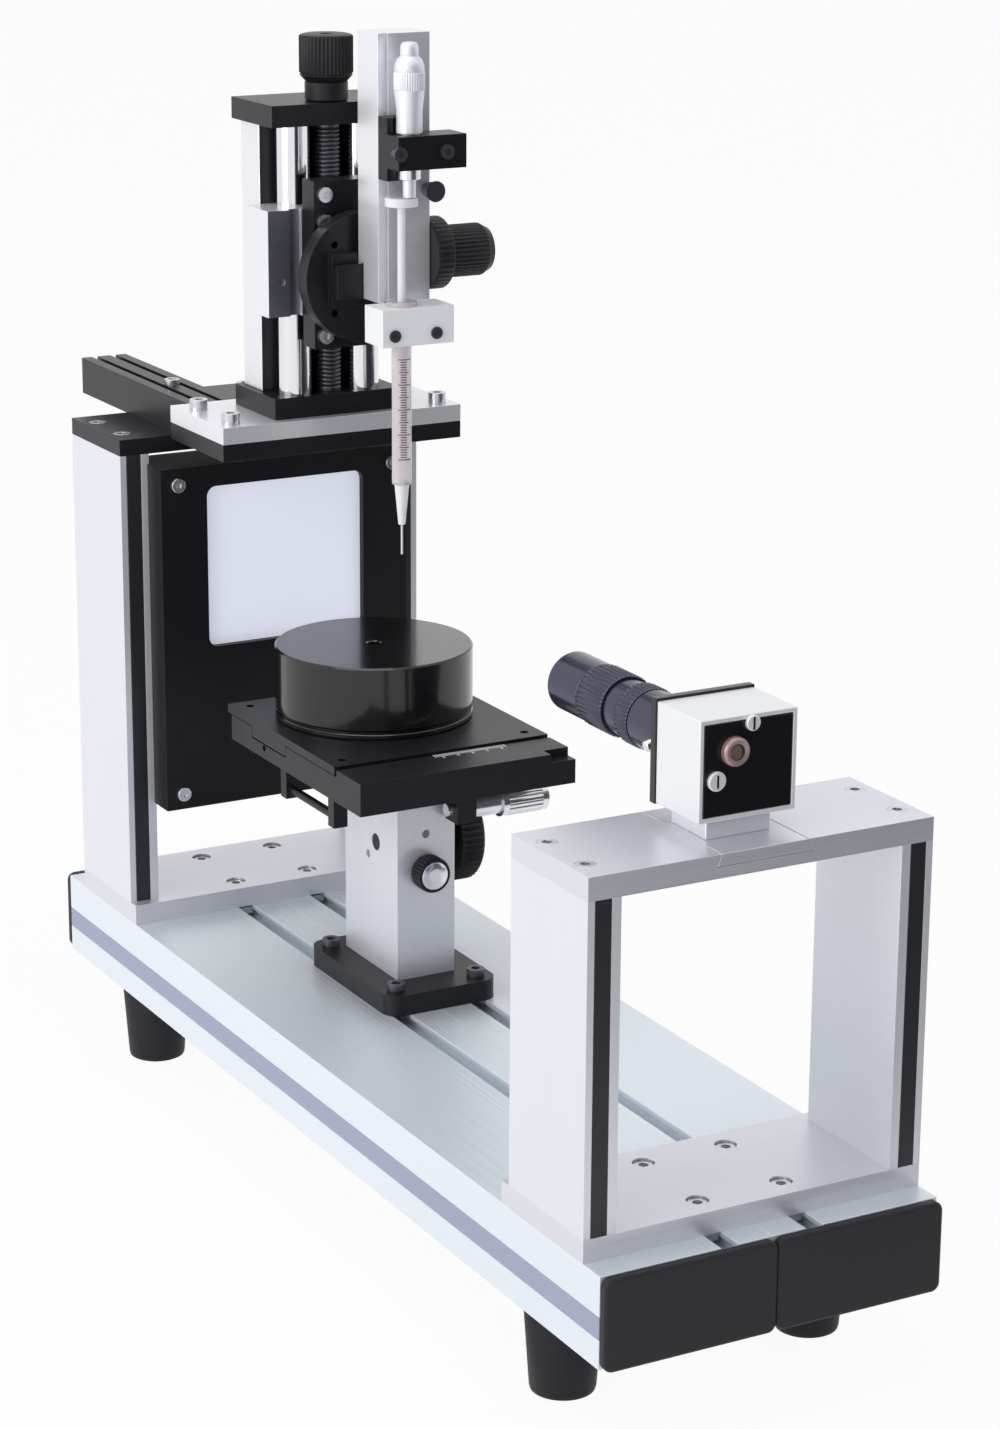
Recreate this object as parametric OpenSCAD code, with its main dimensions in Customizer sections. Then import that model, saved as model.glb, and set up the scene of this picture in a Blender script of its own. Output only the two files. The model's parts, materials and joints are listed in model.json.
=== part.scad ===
// Bench optical contact-angle meter: base, camera bridge, lit tower, syringe slide and sample stage.
// Millimetres. X across the base, Y from the camera towards the tower, Z up, floor at Z = 0.

/* [Base] */
// Width of one of the two base profiles
profile_w = 80; // [70:1:100]
// Height of the base profiles
profile_h = 40; // [32:1:60]
// Length of the base over its end caps
base_len = 550; // [540:5:660]
// Thickness of each plastic end cap
cap_t = 5; // [3:0.5:8]
// Corner radius of the end caps
cap_r = 4; // [2:0.5:8]
// Opening of the T-slots along the base
slot_w = 8; // [6:0.5:10]
// Wall between a T-slot's opening and its chamber
slot_lip = 2.5; // [2:0.5:3.5]
// Width of a T-slot's chamber
chamber_w = 15; // [12:0.5:18]
// Depth of a T-slot's chamber below its lips
chamber_h = 5; // [4:0.5:6]
// Bore through the profile's core under each T-slot
core_hole_d = 6.8; // [4:0.2:8]
// Height of the side groove's opening
side_slot_w = 10; // [8:0.5:12]
// Thickness of the strip that closes the side groove
side_cover_t = 2; // [1:0.5:2.5]

/* [Feet] */
// Height of the rubber feet
foot_h = 40; // [25:1:50]
// Diameter of a foot at the base
foot_top_d = 34; // [28:1:38]
// Diameter of a foot at the floor
foot_bottom_d = 28; // [20:1:30]
// Distance from the base's side to a foot's axis
foot_inset_x = 20; // [18:1:30]
// Distance from the base's end to a foot's axis
foot_inset_y = 67; // [40:1:90]

/* [Frames] */
// Depth of the uprights along the base
upright_d = 60; // [50:1:70]
// Thickness of the uprights
upright_t = 15; // [12:0.5:20]
// Depth of the plates that hold the frames down
foot_plate_d = 66; // [62:1:80]
// Thickness of the frames' plates
plate_t = 10; // [8:0.5:14]
// Height of the camera bridge over the base
bridge_h = 160; // [130:1:190]
// Height of the tower over the base, without its black top plate
tower_h = 236; // [225:1:260]
// Width of the black strip in each upright's edge
strip_w = 7.6; // [6:0.2:9]
// Depth of the groove that holds the strip
strip_d = 2.2; // [1.5:0.1:3]
// Distance from an upright's outer face to its strip
strip_inset = 3.2; // [2:0.2:3.4]
// Distance from the base's front end to the bridge
bridge_setback = 18; // [12:1:30]
// Distance from the base's front end to the tower
tower_setback = 465; // [462:1:474]
// Thickness of the tower's top plate
tower_plate_t = 8; // [6:0.5:12]

/* [Light panel] */
// Width of the light panel
panel_w = 129; // [110:0.5:129]
// Height of the light panel
panel_h = 171; // [150:1:175]
// Depth of the light panel
panel_d = 34; // [30:1:44]
// How far the panel stands in front of the tower
panel_proud = 16; // [8:1:20]
// Width of the lit window
window_w = 84; // [60:1:100]
// Height of the lit window
window_h = 80; // [60:1:100]
// Corner radius of the lit window
window_r = 5; // [2:0.5:10]

/* [Camera] */
// Width of the camera body
camera_w = 45; // [40:1:56]
// Height of the camera body
camera_h = 42; // [38:1:50]
// Depth of the camera body
camera_d = 32; // [26:1:44]
// Height of the block under the camera
camera_block_h = 8; // [6:0.5:12]
// Outer diameter of the lens barrel
lens_d = 25; // [22:0.5:28]
// Length of the lens from the camera's flange
lens_len = 100; // [96:1:130]

/* [Syringe slide] */
// Width of the slide's end plates
slide_w = 66; // [62:1:80]
// Depth of the slide's end plates
slide_d = 44; // [42:1:50]
// Height of the slide between its end plates
slide_gap_h = 125; // [118:1:140]
// Thickness of the slide's end plates
slide_plate_t = 10; // [8:0.5:12]
// Diameter of the two guide rods
rod_d = 16; // [10:0.5:16]
// Distance between the guide rods' axes
rod_pitch = 35; // [34:0.5:40]
// Diameter of the lead screw
lead_d = 12; // [8:0.5:12]
// Travel of the lead screw's nut for one turn
lead_pitch = 2; // [1:0.5:4]
// Height of the sliding carriage
carriage_h = 49; // [44:1:52]
// Diameter of the tilt disc
tilt_disc_d = 60; // [50:1:66]

/* [Syringe] */
// Height of the needle's tip over the base
tip_h = 209; // [205:1:240]
// Outer diameter of the syringe barrel
barrel_d = 9; // [7:0.2:10]
// Bore of the syringe barrel
barrel_bore = 5.5; // [3:0.1:6]
// Length of the syringe barrel below its holder
barrel_len = 65; // [55:1:80]
// Length of the needle's hub
hub_len = 19; // [14:1:24]
// Length of the bare needle
needle_len = 14; // [10:1:30]
// Diameter of the needle
needle_d = 1; // [0.8:0.1:1.5]
// Diameter of the micrometer's thimble
thimble_d = 14; // [12:0.5:16]

/* [Sample stage] */
// Width of the column across the base
column_w = 30; // [28:1:34]
// Depth of the column along the base
column_d = 54; // [52:1:60]
// Height of the column over its foot plate
column_h = 98; // [80:1:99]
// Width of the column's foot plate
column_foot_w = 58; // [56:1:64]
// Depth of the column's foot plate
column_foot_d = 86; // [82:1:96]
// Height of the stage body's underside over the base
stage_h = 110; // [106:1:120]
// Width of the stage body
stage_w = 110; // [100:1:120]
// Depth of the stage body
stage_d = 136; // [130:1:150]
// Depth of the moving top plate
top_plate_d = 114; // [100:1:118]
// Diameter of the round table
table_d = 93; // [70:1:100]
// Height of the round table
table_h = 34; // [20:1:36]
// Diameter of the height knob
lift_knob_d = 48; // [40:1:52]

/* [Hidden] */
$fn = 64;

// Clearances
fit = 0.05;        // radial clearance of a shaft in its bore
gap = 0.3;         // space between pieces that move past each other
seat = 0.05;       // space round a piece that drops into a seat

// Frame of the whole object
beam_out = 31;                                   // beam's overhang behind the base
y_front = -(base_len + beam_out) / 2;
y_rear = y_front + base_len;
base_w = 2 * profile_w;
base_top = foot_h + profile_h;
slot_pitch = profile_w / 2;                      // distance between the T-slots of one profile
side_slot_z = foot_h + 17.6;

// Frames
bridge_y = y_front + bridge_setback;
tower_y = y_front + tower_setback;
tower_plate_y = tower_y - foot_plate_d + upright_d;
deck_z = base_top + bridge_h;                    // top of the camera bridge
tower_z = base_top + tower_h;                    // top of the tower's uprights
tower_top_z = tower_z + tower_plate_t;
hole_inset = 12;                                 // foot plate's screws to its edges
frame_screw_d = 5;
screw_head_d = 8.5;
screw_head_h = 4.6;
nut_t = 4;                                       // T-slot nut
top_screw_x = base_w / 2 - upright_t / 2;
top_screw_pitch = 30;

// Light panel
panel_z = tower_z - 5 - panel_h;
panel_y = tower_y - panel_proud;
window_z = panel_z + panel_h - 50.5;              // middle of the lit window
frame_t = 4;
diffuser_t = 3;
diffuser_edge = 4.5;
housing_wall = 3;
housing_side = 14;                               // side walls that take the screws
housing_rim = 5;
panel_lip = 1.5;                                 // the proud part's overlap on each upright
proud_w = panel_w + 2 * panel_lip;

// Camera
bar_w = 40;
bar_t = 5;
dovetail = 2;
camera_y = bridge_y + 14;
camera_z = deck_z + camera_block_h;
flange_t = 4;
lens_y = camera_y + camera_d + flange_t;
lens_z = camera_z + camera_h / 2;
core_r = lens_d / 2 - 2.5;

// Needle and syringe slide
needle_y = y_front + 328;
cantilever_t = 11;
cantilever_step = 3;                             // its front part is this much thinner
mount_t = 8;
mount_w = 124;
mount_y = y_front + 385;
mount_d = 60;
cantilever_z = tower_top_z;
mount_z = cantilever_z + cantilever_t;
slide_y = mount_y + 5;
slide_z = mount_z + mount_t;
rod_y = slide_y + 11;
slide_top_z = slide_z + 2 * slide_plate_t + slide_gap_h;
carriage_w = 75;
carriage_d = 24;
carriage_y = rod_y - 15;
carriage_z = slide_z + slide_plate_t + 39;
disc_z = carriage_z + 20;
back_t = 20;
carrier_w = 40;
carrier_h = 77;
carrier_t = 12;
carrier_z = carriage_z - 14;
disc_t = 12;
stub_r = 8;

// Dispenser
holder_h = 17;
tip_z = base_top + tip_h;
hub_z = tip_z + needle_len;
barrel_z = hub_z + hub_len;
holder_z = barrel_z + barrel_len;
syringe_x = 1;
seal_z = barrel_z + 31;
disp_w = 26;
disp_d = 20;
disp_x = 7;
disp_front = needle_y + 9;
disp_back = disp_front + disp_d;
disp_z = holder_z + holder_h;
disp_h = 120;
cross_travel = 6;
guide_w = disp_w + cross_travel;
guide_x = disp_x + disp_w / 2 - cross_travel - 1 - guide_w / 2;
bracket_z = disp_z + 56;
bracket_h = 28;
clamp_z = bracket_z + 6;
clamp_h = 15;
micro_y = needle_y - 4;
micro_x = syringe_x + 2;
sleeve_d = 10;
sleeve_z = clamp_z - 5;
sleeve_top = clamp_z + clamp_h + 4;
thimble_z = clamp_z + clamp_h + gap;
thimble_h = 34;
spindle_d = 6;
spindle_z = sleeve_z - 8;
knob_z = disp_z + 20;
thumb_z = disp_z + 50;
cross_bore = 3;
button_t = 4;                                    // thumb button on the plunger

// Sample stage
lift_x = 2;
lift_y = needle_y + 5;
foot_t = 10;
column_z = base_top + foot_t;
column_top = column_z + column_h;
stage_z = base_top + stage_h;
stage_y = needle_y - 68;
body_t = 12;
ledge_t = 15.3;
ledge_d = 24;
top_t = 4;
top_z = stage_z + body_t + gap;
top_y = stage_y + ledge_d + 2;
table_y = needle_y + 27;
table_z = top_z + top_t + gap;
ram_w = 18;
ram_d = 17;
pinion_r = 6;
pinion_y = lift_y - 5;
pinion_z = column_z + 62;
ram_y = pinion_y + pinion_r + gap;
shaft_r = 4;
collar_w = 9;
lug_x = 16;
micro_lug_y = stage_y + 38;
lug_z = stage_z - 17;
tongue_w = 36;
tongue_h = 5;

// Colours
silver = [0.86, 0.87, 0.90];
bare = [0.76, 0.77, 0.80];
black = [0.10, 0.10, 0.11];
rubber = [0.08, 0.08, 0.08];

// ---- Shapes that repeat ----
module rounded_rect(w, h, r) {
    square([w - 2 * r, h], center = true);
    square([w, h - 2 * r], center = true);
    for (sx = [-1, 1], sy = [-1, 1])
        translate([sx * (w / 2 - r), sy * (h / 2 - r)]) circle(r);
}

module block(x, y, z, sx, sy, sz) {
    translate([x - sx / 2, y, z]) cube([sx, sy, sz]);
}

module rod_x(x, y, z, r, len) {
    translate([x, y, z]) rotate([0, 90, 0]) cylinder(r = r, h = len);
}

module rod_y(x, y, z, r, len) {
    translate([x, y, z]) rotate([-90, 0, 0]) cylinder(r = r, h = len);
}

module rod_z(x, y, z, r, len) {
    translate([x, y, z]) cylinder(r = r, h = len);
}

// Socket-head screw standing on z = 0 with its shank below and a hexagon socket in its head
module cap_screw(d, head_d, head_h, len) {
    difference() {
        union() {
            cylinder(d = head_d, h = head_h);
            translate([0, 0, -len]) cylinder(d = d, h = len);
        }
        translate([0, 0, head_h / 2]) cylinder(d = d * 0.9, h = head_h, $fn = 6);
    }
}

// The open top slot is the one beside the seam; the underside has both of its slots
module profile_section() {
    difference() {
        square([profile_w, profile_h], center = true);
        for (place = [[1, 1], [-1, -1], [1, -1]])
            translate([place[0] * slot_pitch / 2, place[1] * profile_h / 2]) {
            square([slot_w, 2 * (slot_lip + chamber_h)], center = true);
            translate([-chamber_w / 2, place[1] > 0 ? -slot_lip - chamber_h : slot_lip])
                square([chamber_w, chamber_h]);
        }
        translate([-profile_w / 2, side_slot_z - foot_h - profile_h / 2])
            square([2 * (side_cover_t + seat), side_slot_w], center = true);
        square([slot_pitch - chamber_w - 2 * slot_lip, profile_h - 2 * slot_lip], center = true);
        for (sx = [-1, 1]) translate([sx * slot_pitch / 2, 0]) circle(d = core_hole_d);
    }
}

// One base profile; side is -1 for the left one and 1 for the right one
module base_profile(side) {
    translate([side * profile_w / 2, y_rear - cap_t, foot_h + profile_h / 2]) rotate([90, 0, 0])
        linear_extrude(base_len - 2 * cap_t) mirror([side > 0 ? 1 : 0, 0])
            profile_section();
}

module end_cap_pair(y) {
    for (side = [-1, 1]) translate([side * profile_w / 2, y + cap_t, foot_h + profile_h / 2])
        rotate([90, 0, 0]) linear_extrude(cap_t) rounded_rect(profile_w - seat, profile_h, cap_r);
}

module foot_plate(y) {
    difference() {
        block(0, y, base_top, base_w, foot_plate_d, plate_t);
        foot_screw_places(y) cylinder(d = frame_screw_d + 2 * fit, h = 3 * plate_t, center = true);
        foot_screw_places(y) translate([0, 0, plate_t - screw_head_h - 1])
            cylinder(d = screw_head_d + 1, h = plate_t);
    }
}

module foot_screw_places(y) {
    for (sx = [-1, 1], dy = [hole_inset, foot_plate_d - hole_inset])
        translate([sx * slot_pitch / 2, y + dy, base_top]) children();
}

module top_screw_places(y, z) {
    for (sx = [-1, 1], sy = [-1, 1])
        translate([sx * top_screw_x, y + upright_d / 2 + sy * top_screw_pitch / 2, z]) children();
}

module uprights(y, z_top) {
    for (side = [-1, 1]) difference() {
        block(side * (base_w - upright_t) / 2, y, base_top + plate_t, upright_t, upright_d,
            z_top - base_top - plate_t);
        for (edge_y = [y, y + upright_d])
            block(side * (base_w / 2 - strip_inset - strip_w / 2), edge_y - strip_d, base_top,
                strip_w, 2 * strip_d, z_top);
        for (sy = [-1, 1])
            translate([side * top_screw_x, y + upright_d / 2 + sy * top_screw_pitch / 2, z_top - 20])
                cylinder(d = frame_screw_d, h = 21);
    }
}

module strips(y, z_top) {
    h = z_top - base_top - plate_t;
    for (side = [-1, 1], edge = [0, 1])
        block(side * (base_w / 2 - strip_inset - strip_w / 2),
            y + edge * (upright_d - strip_d), base_top + plate_t, strip_w - 2 * seat,
            strip_d, h);
}

// ---- Base ----
module base_profile_left() { color(silver) base_profile(-1); }
module base_profile_right() { color(silver) base_profile(1); }

module end_caps() {
    color(black) {
        end_cap_pair(y_front);
        end_cap_pair(y_rear - cap_t);
    }
}

module side_slot_covers() {
    color("slategray") for (side = [-1, 1])
        translate([side > 0 ? base_w / 2 - side_cover_t : -base_w / 2, y_front + cap_t,
            side_slot_z - side_slot_w / 2 + seat])
            cube([side_cover_t, base_len - 2 * cap_t, side_slot_w - 2 * seat]);
}

module foot_places() {
    for (sx = [-1, 1], y = [y_front + foot_inset_y, y_rear - foot_inset_y])
        translate([sx * (base_w / 2 - foot_inset_x), y, 0]) children();
}

module rubber_feet() {
    color(rubber) foot_places() difference() {
        cylinder(d1 = foot_bottom_d, d2 = foot_top_d, h = foot_h);
        translate([0, 0, -1]) cylinder(d = foot_bottom_d / 2, h = foot_h / 2 + 1);
        cylinder(d = frame_screw_d + 1, h = foot_h + 1);
    }
}

module foot_screws() {
    color(bare) foot_places() {
        translate([0, 0, foot_h / 2 - 4]) cylinder(d = foot_bottom_d / 2 - 2, h = 4);
        translate([0, 0, foot_h / 2]) cylinder(d = frame_screw_d, h = foot_h / 2 + slot_lip);
        translate([0, 0, foot_h + slot_lip]) cylinder(d = slot_w + 4, h = chamber_h - 1);
    }
}

// ---- Camera bridge ----
module frame_foot_plates() {
    color(bare) for (y = [bridge_y, tower_plate_y]) foot_plate(y);
}
module bridge_uprights() { color(silver) uprights(bridge_y, deck_z - plate_t); }

module bridge_top_plate() {
    color(silver) difference() {
        block(0, bridge_y, deck_z - plate_t, base_w, upright_d, plate_t);
        translate([0, bridge_y + upright_d + 1, deck_z]) rotate([90, 0, 0])
            linear_extrude(upright_d + 2) polygon([[-bar_w / 2 - gap, 1], [-bar_w / 2 - gap, 0],
                [-bar_w / 2 - dovetail - gap, -bar_t - gap], [bar_w / 2 + dovetail + gap, -bar_t - gap],
                [bar_w / 2 + gap, 0], [bar_w / 2 + gap, 1]]);
        top_screw_places(bridge_y, deck_z - plate_t - 1)
            cylinder(d = frame_screw_d + 2 * fit, h = plate_t + 2);
        top_screw_places(bridge_y, deck_z - screw_head_h)
            cylinder(d = screw_head_d + 2 * seat, h = plate_t);
    }
}

// ---- Tower ----
module tower_uprights() { color(silver) uprights(tower_y, tower_z); }

module tower_top_plate() {
    color(black) difference() {
        block(0, tower_y, tower_z, base_w, upright_d, tower_plate_t);
        top_screw_places(tower_y, tower_z - 1)
            cylinder(d = frame_screw_d + 2 * fit, h = tower_plate_t + 2);
        top_screw_places(tower_y, tower_top_z - screw_head_h)
            cylinder(d = screw_head_d + 2 * seat, h = tower_plate_t);
    }
}

module upright_strips() {
    color(black) {
        strips(bridge_y, deck_z - plate_t);
        strips(tower_y, tower_z);
    }
}

module frame_screws() {
    color("silver") {
        for (y = [bridge_y, tower_plate_y]) foot_screw_places(y) {
            translate([0, 0, plate_t - screw_head_h - 1]) cap_screw(frame_screw_d, screw_head_d,
                screw_head_h, plate_t - screw_head_h - 1 + slot_lip);
            translate([0, 0, -slot_lip - nut_t / 2])
                cube([chamber_w - 2, chamber_w - 2, nut_t - gap], center = true);
        }
        top_screw_places(bridge_y, deck_z - screw_head_h)
            cap_screw(frame_screw_d, screw_head_d, screw_head_h, plate_t + 6);
        top_screw_places(tower_y, tower_top_z - screw_head_h)
            cap_screw(frame_screw_d, screw_head_d, screw_head_h, tower_plate_t + 6);
    }
}

// ---- Light panel ----
module panel_screw_places() {
    for (sx = [-1, 1], sz = [-1, 1])
        translate([sx * (panel_w / 2 - 7), panel_y, panel_z + panel_h / 2 + sz * (panel_h / 2 - 8)])
            rotate([90, 0, 0]) children();
}

module light_front_frame() {
    color(black) difference() {
        block(0, panel_y, panel_z, proud_w, frame_t, panel_h);
        translate([0, panel_y + frame_t + 1, window_z]) rotate([90, 0, 0])
            linear_extrude(frame_t + 2) rounded_rect(window_w, window_h, window_r);
        panel_screw_places() translate([0, 0, -frame_t - 1]) cylinder(d = 3.2, h = frame_t + 2);
    }
}

module light_housing() {
    color(black) difference() {
        union() {
            block(0, panel_y + frame_t, panel_z, panel_w, panel_d - frame_t, panel_h);
            block(0, panel_y + frame_t, panel_z, proud_w, panel_proud - frame_t, panel_h);
        }
        block(0, panel_y, panel_z + housing_rim, panel_w - 2 * housing_side, panel_d - housing_wall,
            panel_h - 2 * housing_rim);
        panel_screw_places() translate([0, 0, -15]) cylinder(d = 3, h = 16);
        rod_y(0, panel_y + panel_d - housing_wall - 1, panel_z + 30, 4, housing_wall + 2);
    }
}

module light_diffuser() {
    color("white") block(0, panel_y + frame_t, window_z - diffuser_edge - window_h / 2,
        window_w + 2 * diffuser_edge, diffuser_t, window_h + 2 * diffuser_edge);
}

module light_board() {
    w = panel_w - 2 * housing_side - 4;
    h = panel_h - 2 * housing_rim - 4;
    y = panel_y + panel_d - housing_wall - 6;
    color("seagreen") {
        block(0, y + 2, panel_z + (panel_h - h) / 2, w, 4, h);
        for (ix = [-2 : 2], iz = [-1 : 2])
            block(ix * 16, y, window_z - 10 + iz * 18, 5, 2, 5);
    }
}

module light_screws() {
    color("silver") panel_screw_places() difference() {
        union() {
            cylinder(d = 7, h = 2.2);
            translate([0, 0, -12]) cylinder(d = 3, h = 12);
        }
        translate([0, 0, 1.2]) cylinder(d = 2.6, h = 2, $fn = 6);
    }
}

// ---- Beam and plates that carry the syringe slide ----
beam_w = 24;
beam_h = 18;
beam_x = -39;
beam_y = mount_y + mount_d + 2;
tongue_x0 = beam_x + beam_w / 2 + 2;
tongue_len = tower_y + upright_d - 8 - mount_y - mount_d;

module support_beam() {
    color(black) difference() {
        block(beam_x, beam_y, tower_top_z, beam_w, y_rear + beam_out - beam_y, beam_h);
        for (sx = [-1, 1]) block(beam_x + sx * 5, beam_y - 1, tower_top_z + beam_h - 2, 3,
            base_len, 3);
        rod_z(beam_x, tower_y + upright_d / 2, tower_top_z - 1, 2.5, beam_h + 2);
    }
}

module cantilever_plate() {
    color(black) difference() {
        union() {
            block(0, mount_y, cantilever_z + cantilever_step, mount_w, mount_d,
                cantilever_t - cantilever_step);
            translate([tongue_x0, mount_y + mount_d, cantilever_z])
                cube([mount_w / 2 - tongue_x0, tongue_len, cantilever_t]);
        }
        mount_screw_places(cantilever_z - 1) cylinder(d = 5.2, h = cantilever_t + 2);
        for (x = [0, 45]) rod_z(x, tower_y + upright_d / 2, cantilever_z - 1, 2.6, cantilever_t + 2);
    }
}

module mount_screw_places(z) {
    for (sx = [-1, 1], y = [mount_y + 9, mount_y + mount_d - 15])
        translate([sx * (mount_w / 2 - 8), y, z]) children();
}

module slide_mount_plate() {
    color(silver) difference() {
        block(0, mount_y, mount_z, mount_w, mount_d, mount_t);
        mount_screw_places(mount_z - 1) cylinder(d = 5.2, h = mount_t + 2);
    }
}

module mount_plate_screws() {
    color("silver") {
        mount_screw_places(mount_z + mount_t)
            cap_screw(5, 8.5, 5, mount_t + cantilever_t - cantilever_step);
        for (x = [0, 45]) translate([x, tower_y + upright_d / 2, cantilever_z + cantilever_t])
            cap_screw(5, 8.5, 5, cantilever_t);
        translate([beam_x, tower_y + upright_d / 2, tower_top_z + beam_h])
            cap_screw(4.9, 7.5, 3, beam_h);
    }
}

// ---- Syringe slide ----
module slide_end_plates() {
    color(black) difference() {
        union() {
            block(0, slide_y, slide_z, slide_w, slide_d, slide_plate_t);
            block(0, slide_y, slide_top_z - slide_plate_t, slide_w, slide_d, slide_plate_t);
        }
        for (sx = [-1, 1]) rod_z(sx * rod_pitch / 2, rod_y, slide_z + 2, rod_d / 2,
            slide_top_z - slide_z - 4);
        rod_z(0, rod_y, slide_z + 2, lead_d / 2 + fit, slide_top_z);
    }
}

module slide_guide_rods() {
    color("gainsboro") for (sx = [-1, 1]) rod_z(sx * rod_pitch / 2, rod_y, slide_z + 2, rod_d / 2,
        slide_top_z - slide_z - 4);
}

module slide_back_plate() {
    color(silver) block(0, carriage_y + carriage_d + gap,
        slide_z + slide_plate_t, slide_w - 6, back_t, slide_gap_h);
}

module slide_carriage() {
    color(silver) difference() {
        block(0, carriage_y, carriage_z, carriage_w, carriage_d, carriage_h);
        for (sx = [-1, 1]) rod_z(sx * rod_pitch / 2, rod_y, carriage_z - 1, rod_d / 2 + fit,
            carriage_h + 2);
        rod_z(0, rod_y, carriage_z - 1, lead_d / 2 + fit, carriage_h + 2);
        block(-carriage_w / 2 + 14, carriage_y - 1, carriage_z - 1, 6, 4, carriage_h + 2);
        block(carriage_w / 2 - 14, carriage_y - 1, carriage_z - 1, 6, 4, carriage_h + 2);
        rod_y(-carriage_w / 2 + 7, carriage_y - 1, disc_z - 4, 1.6, 8);
        carrier_screw_places() cylinder(d = 4, h = 8.1);
    }
}

module carrier_screw_places() {
    for (sx = [-1, 1], sz = [-1, 1])
        translate([sx * (carrier_w / 2 - 5), carriage_y,
            carriage_z + carriage_h / 2 + sz * (carriage_h / 2 - 4.5)]) rotate([-90, 0, 0]) children();
}

module carrier_end_places() {
    for (sx = [-1, 1], z = [carrier_z + 6, carrier_z + carrier_h - 6])
        translate([sx * (carrier_w / 2 - 5), carriage_y, z]) rotate([-90, 0, 0]) children();
}

module lead_screw() {
    color("dimgray") difference() {
        rod_z(0, rod_y, slide_z + 2 + gap, lead_d / 2, slide_top_z - slide_z + 8);
        for (z = [slide_z + slide_plate_t + 4 : 4 : carriage_z - 8])
            translate([0, rod_y, z]) rotate_extrude()
                translate([lead_d / 2, 0]) square([1, 1.6], center = true);
    }
}

module slide_knob() {
    color(black) translate([0, rod_y, slide_top_z + gap]) difference() {
        union() {
            cylinder(d = 20, h = 9);
            translate([0, 0, 9]) cylinder(d1 = 20, d2 = 25, h = 3);
            translate([0, 0, 12]) cylinder(d = 25, h = 18);
        }
        translate([0, 0, -1]) cylinder(d = lead_d, h = 12 - gap);
        for (a = [0 : 12 : 348]) rotate([0, 0, a]) translate([12.9, 0, 12.5])
            cylinder(r = 0.8, h = 17, $fn = 8);
    }
}

module carriage_flange() {
    color(black) difference() {
        block(0, carriage_y - carrier_t, carrier_z, carrier_w, carrier_t, carrier_h);
        rod_y(0, carriage_y - carrier_t - 1, disc_z, stub_r + fit, carrier_t - 1);
        carrier_end_places() translate([0, 0, -carrier_t - 1]) cylinder(d = 4, h = 9);
        carrier_screw_places() translate([0, 0, -carrier_t - 1]) cylinder(d = 4 + 2 * fit,
            h = carrier_t + 2);
    }
}

module flange_screws() {
    color("silver") {
        carrier_screw_places() translate([0, 0, -carrier_t]) mirror([0, 0, 1])
            cap_screw(4, 7, 2.4, carrier_t + 6);
        carrier_end_places() translate([0, 0, -carrier_t]) mirror([0, 0, 1]) cap_screw(4, 7, 2.4, 7);
    }
}

module tilt_disc() {
    y = carriage_y - carrier_t - 3.2 - gap;
    color(black) difference() {
        union() {
            rod_y(0, y - disc_t + 3.2, disc_z, tilt_disc_d / 2, disc_t - 3.2);
            rod_y(0, y - 0.1, disc_z, tilt_disc_d / 2 - 18, 3.3);
            rod_y(0, y, disc_z, stub_r, carrier_t + 1);
            block(guide_x, disp_back + gap, disc_z - 12, guide_w, y - disp_back - gap - disc_t + 3.3,
                24);
            translate([guide_x + guide_w / 2, disp_back + gap, disc_z]) rotate([0, -90, 0])
                linear_extrude(guide_w) polygon([[-6, 0.1], [-8, -5], [8, -5], [6, 0.1]]);
        }
        for (a = [45 : 90 : 315]) translate([0, y - disc_t + 2, disc_z]) rotate([0, a, 0])
            translate([22, 0, 0]) rotate([-90, 0, 0]) cylinder(d = 3.4, h = disc_t + 2);
    }
}

// ---- Dispenser ----
module dispenser_column() {
    color(silver) difference() {
        block(disp_x, disp_front, disp_z, disp_w, disp_d, disp_h);
        translate([disp_x - disp_w, disp_back + gap, disc_z]) rotate([90, 0, 90])
            linear_extrude(2 * disp_w) polygon([[0.1, -6 - gap], [-5 - gap - 0.1, -8 - gap - 0.2],
                [-5 - gap - 0.1, 8 + gap + 0.2], [0.1, 6 + gap]]);
        block(disp_x - disp_w / 2 + 4, disp_front - 1, disp_z - 1, 2, 3, disp_h + 2);
        rod_x(disp_x, disp_front + 7, knob_z, cross_bore + fit, disp_w);
        rod_y(disp_x, disp_front - 1, disp_z + disp_h - 10, 2.2, 8);
        rod_y(disp_x - 2, disp_front - 1, disp_z + 14, 2.2, 4);
        rod_y(disp_x + 11.5, disp_front - 1, thumb_z, 2, 6);
    }
}

module cross_knob() {
    x = disp_x + disp_w / 2 + gap;
    color(black) translate([x, disp_front + 7, knob_z]) rotate([0, 90, 0]) difference() {
        union() {
            cylinder(d = 33, h = 8.5);
            translate([0, 0, 8.5]) cylinder(d = 24, h = 20.5);
            translate([0, 0, 29]) cylinder(d1 = 24, d2 = 19, h = 3);
            translate([0, 0, -12]) cylinder(r = cross_bore, h = 13);
        }
        for (a = [0 : 15 : 345]) rotate([0, 0, a]) translate([12.4, 0, 12])
            cylinder(r = 0.8, h = 16, $fn = 8);
    }
}

module micrometer_bracket() {
    color(black) difference() {
        union() {
            block(disp_x - 5, disp_front - 9, bracket_z, disp_w - 10, 9, bracket_h);
            block(disp_x + 3, micro_y - 9, clamp_z, 34, 16, clamp_h);
        }
        rod_z(micro_x, micro_y, bracket_z - 1, sleeve_d / 2, bracket_h + 2);
        rod_z(micro_x, micro_y, clamp_z + clamp_h, thimble_d / 2 + gap, bracket_h);
        for (x = [micro_x - 9.5, micro_x + 14])
            rod_y(x, micro_y - 9 - 1, clamp_z + clamp_h / 2, 2, 6);
    }
}

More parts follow.
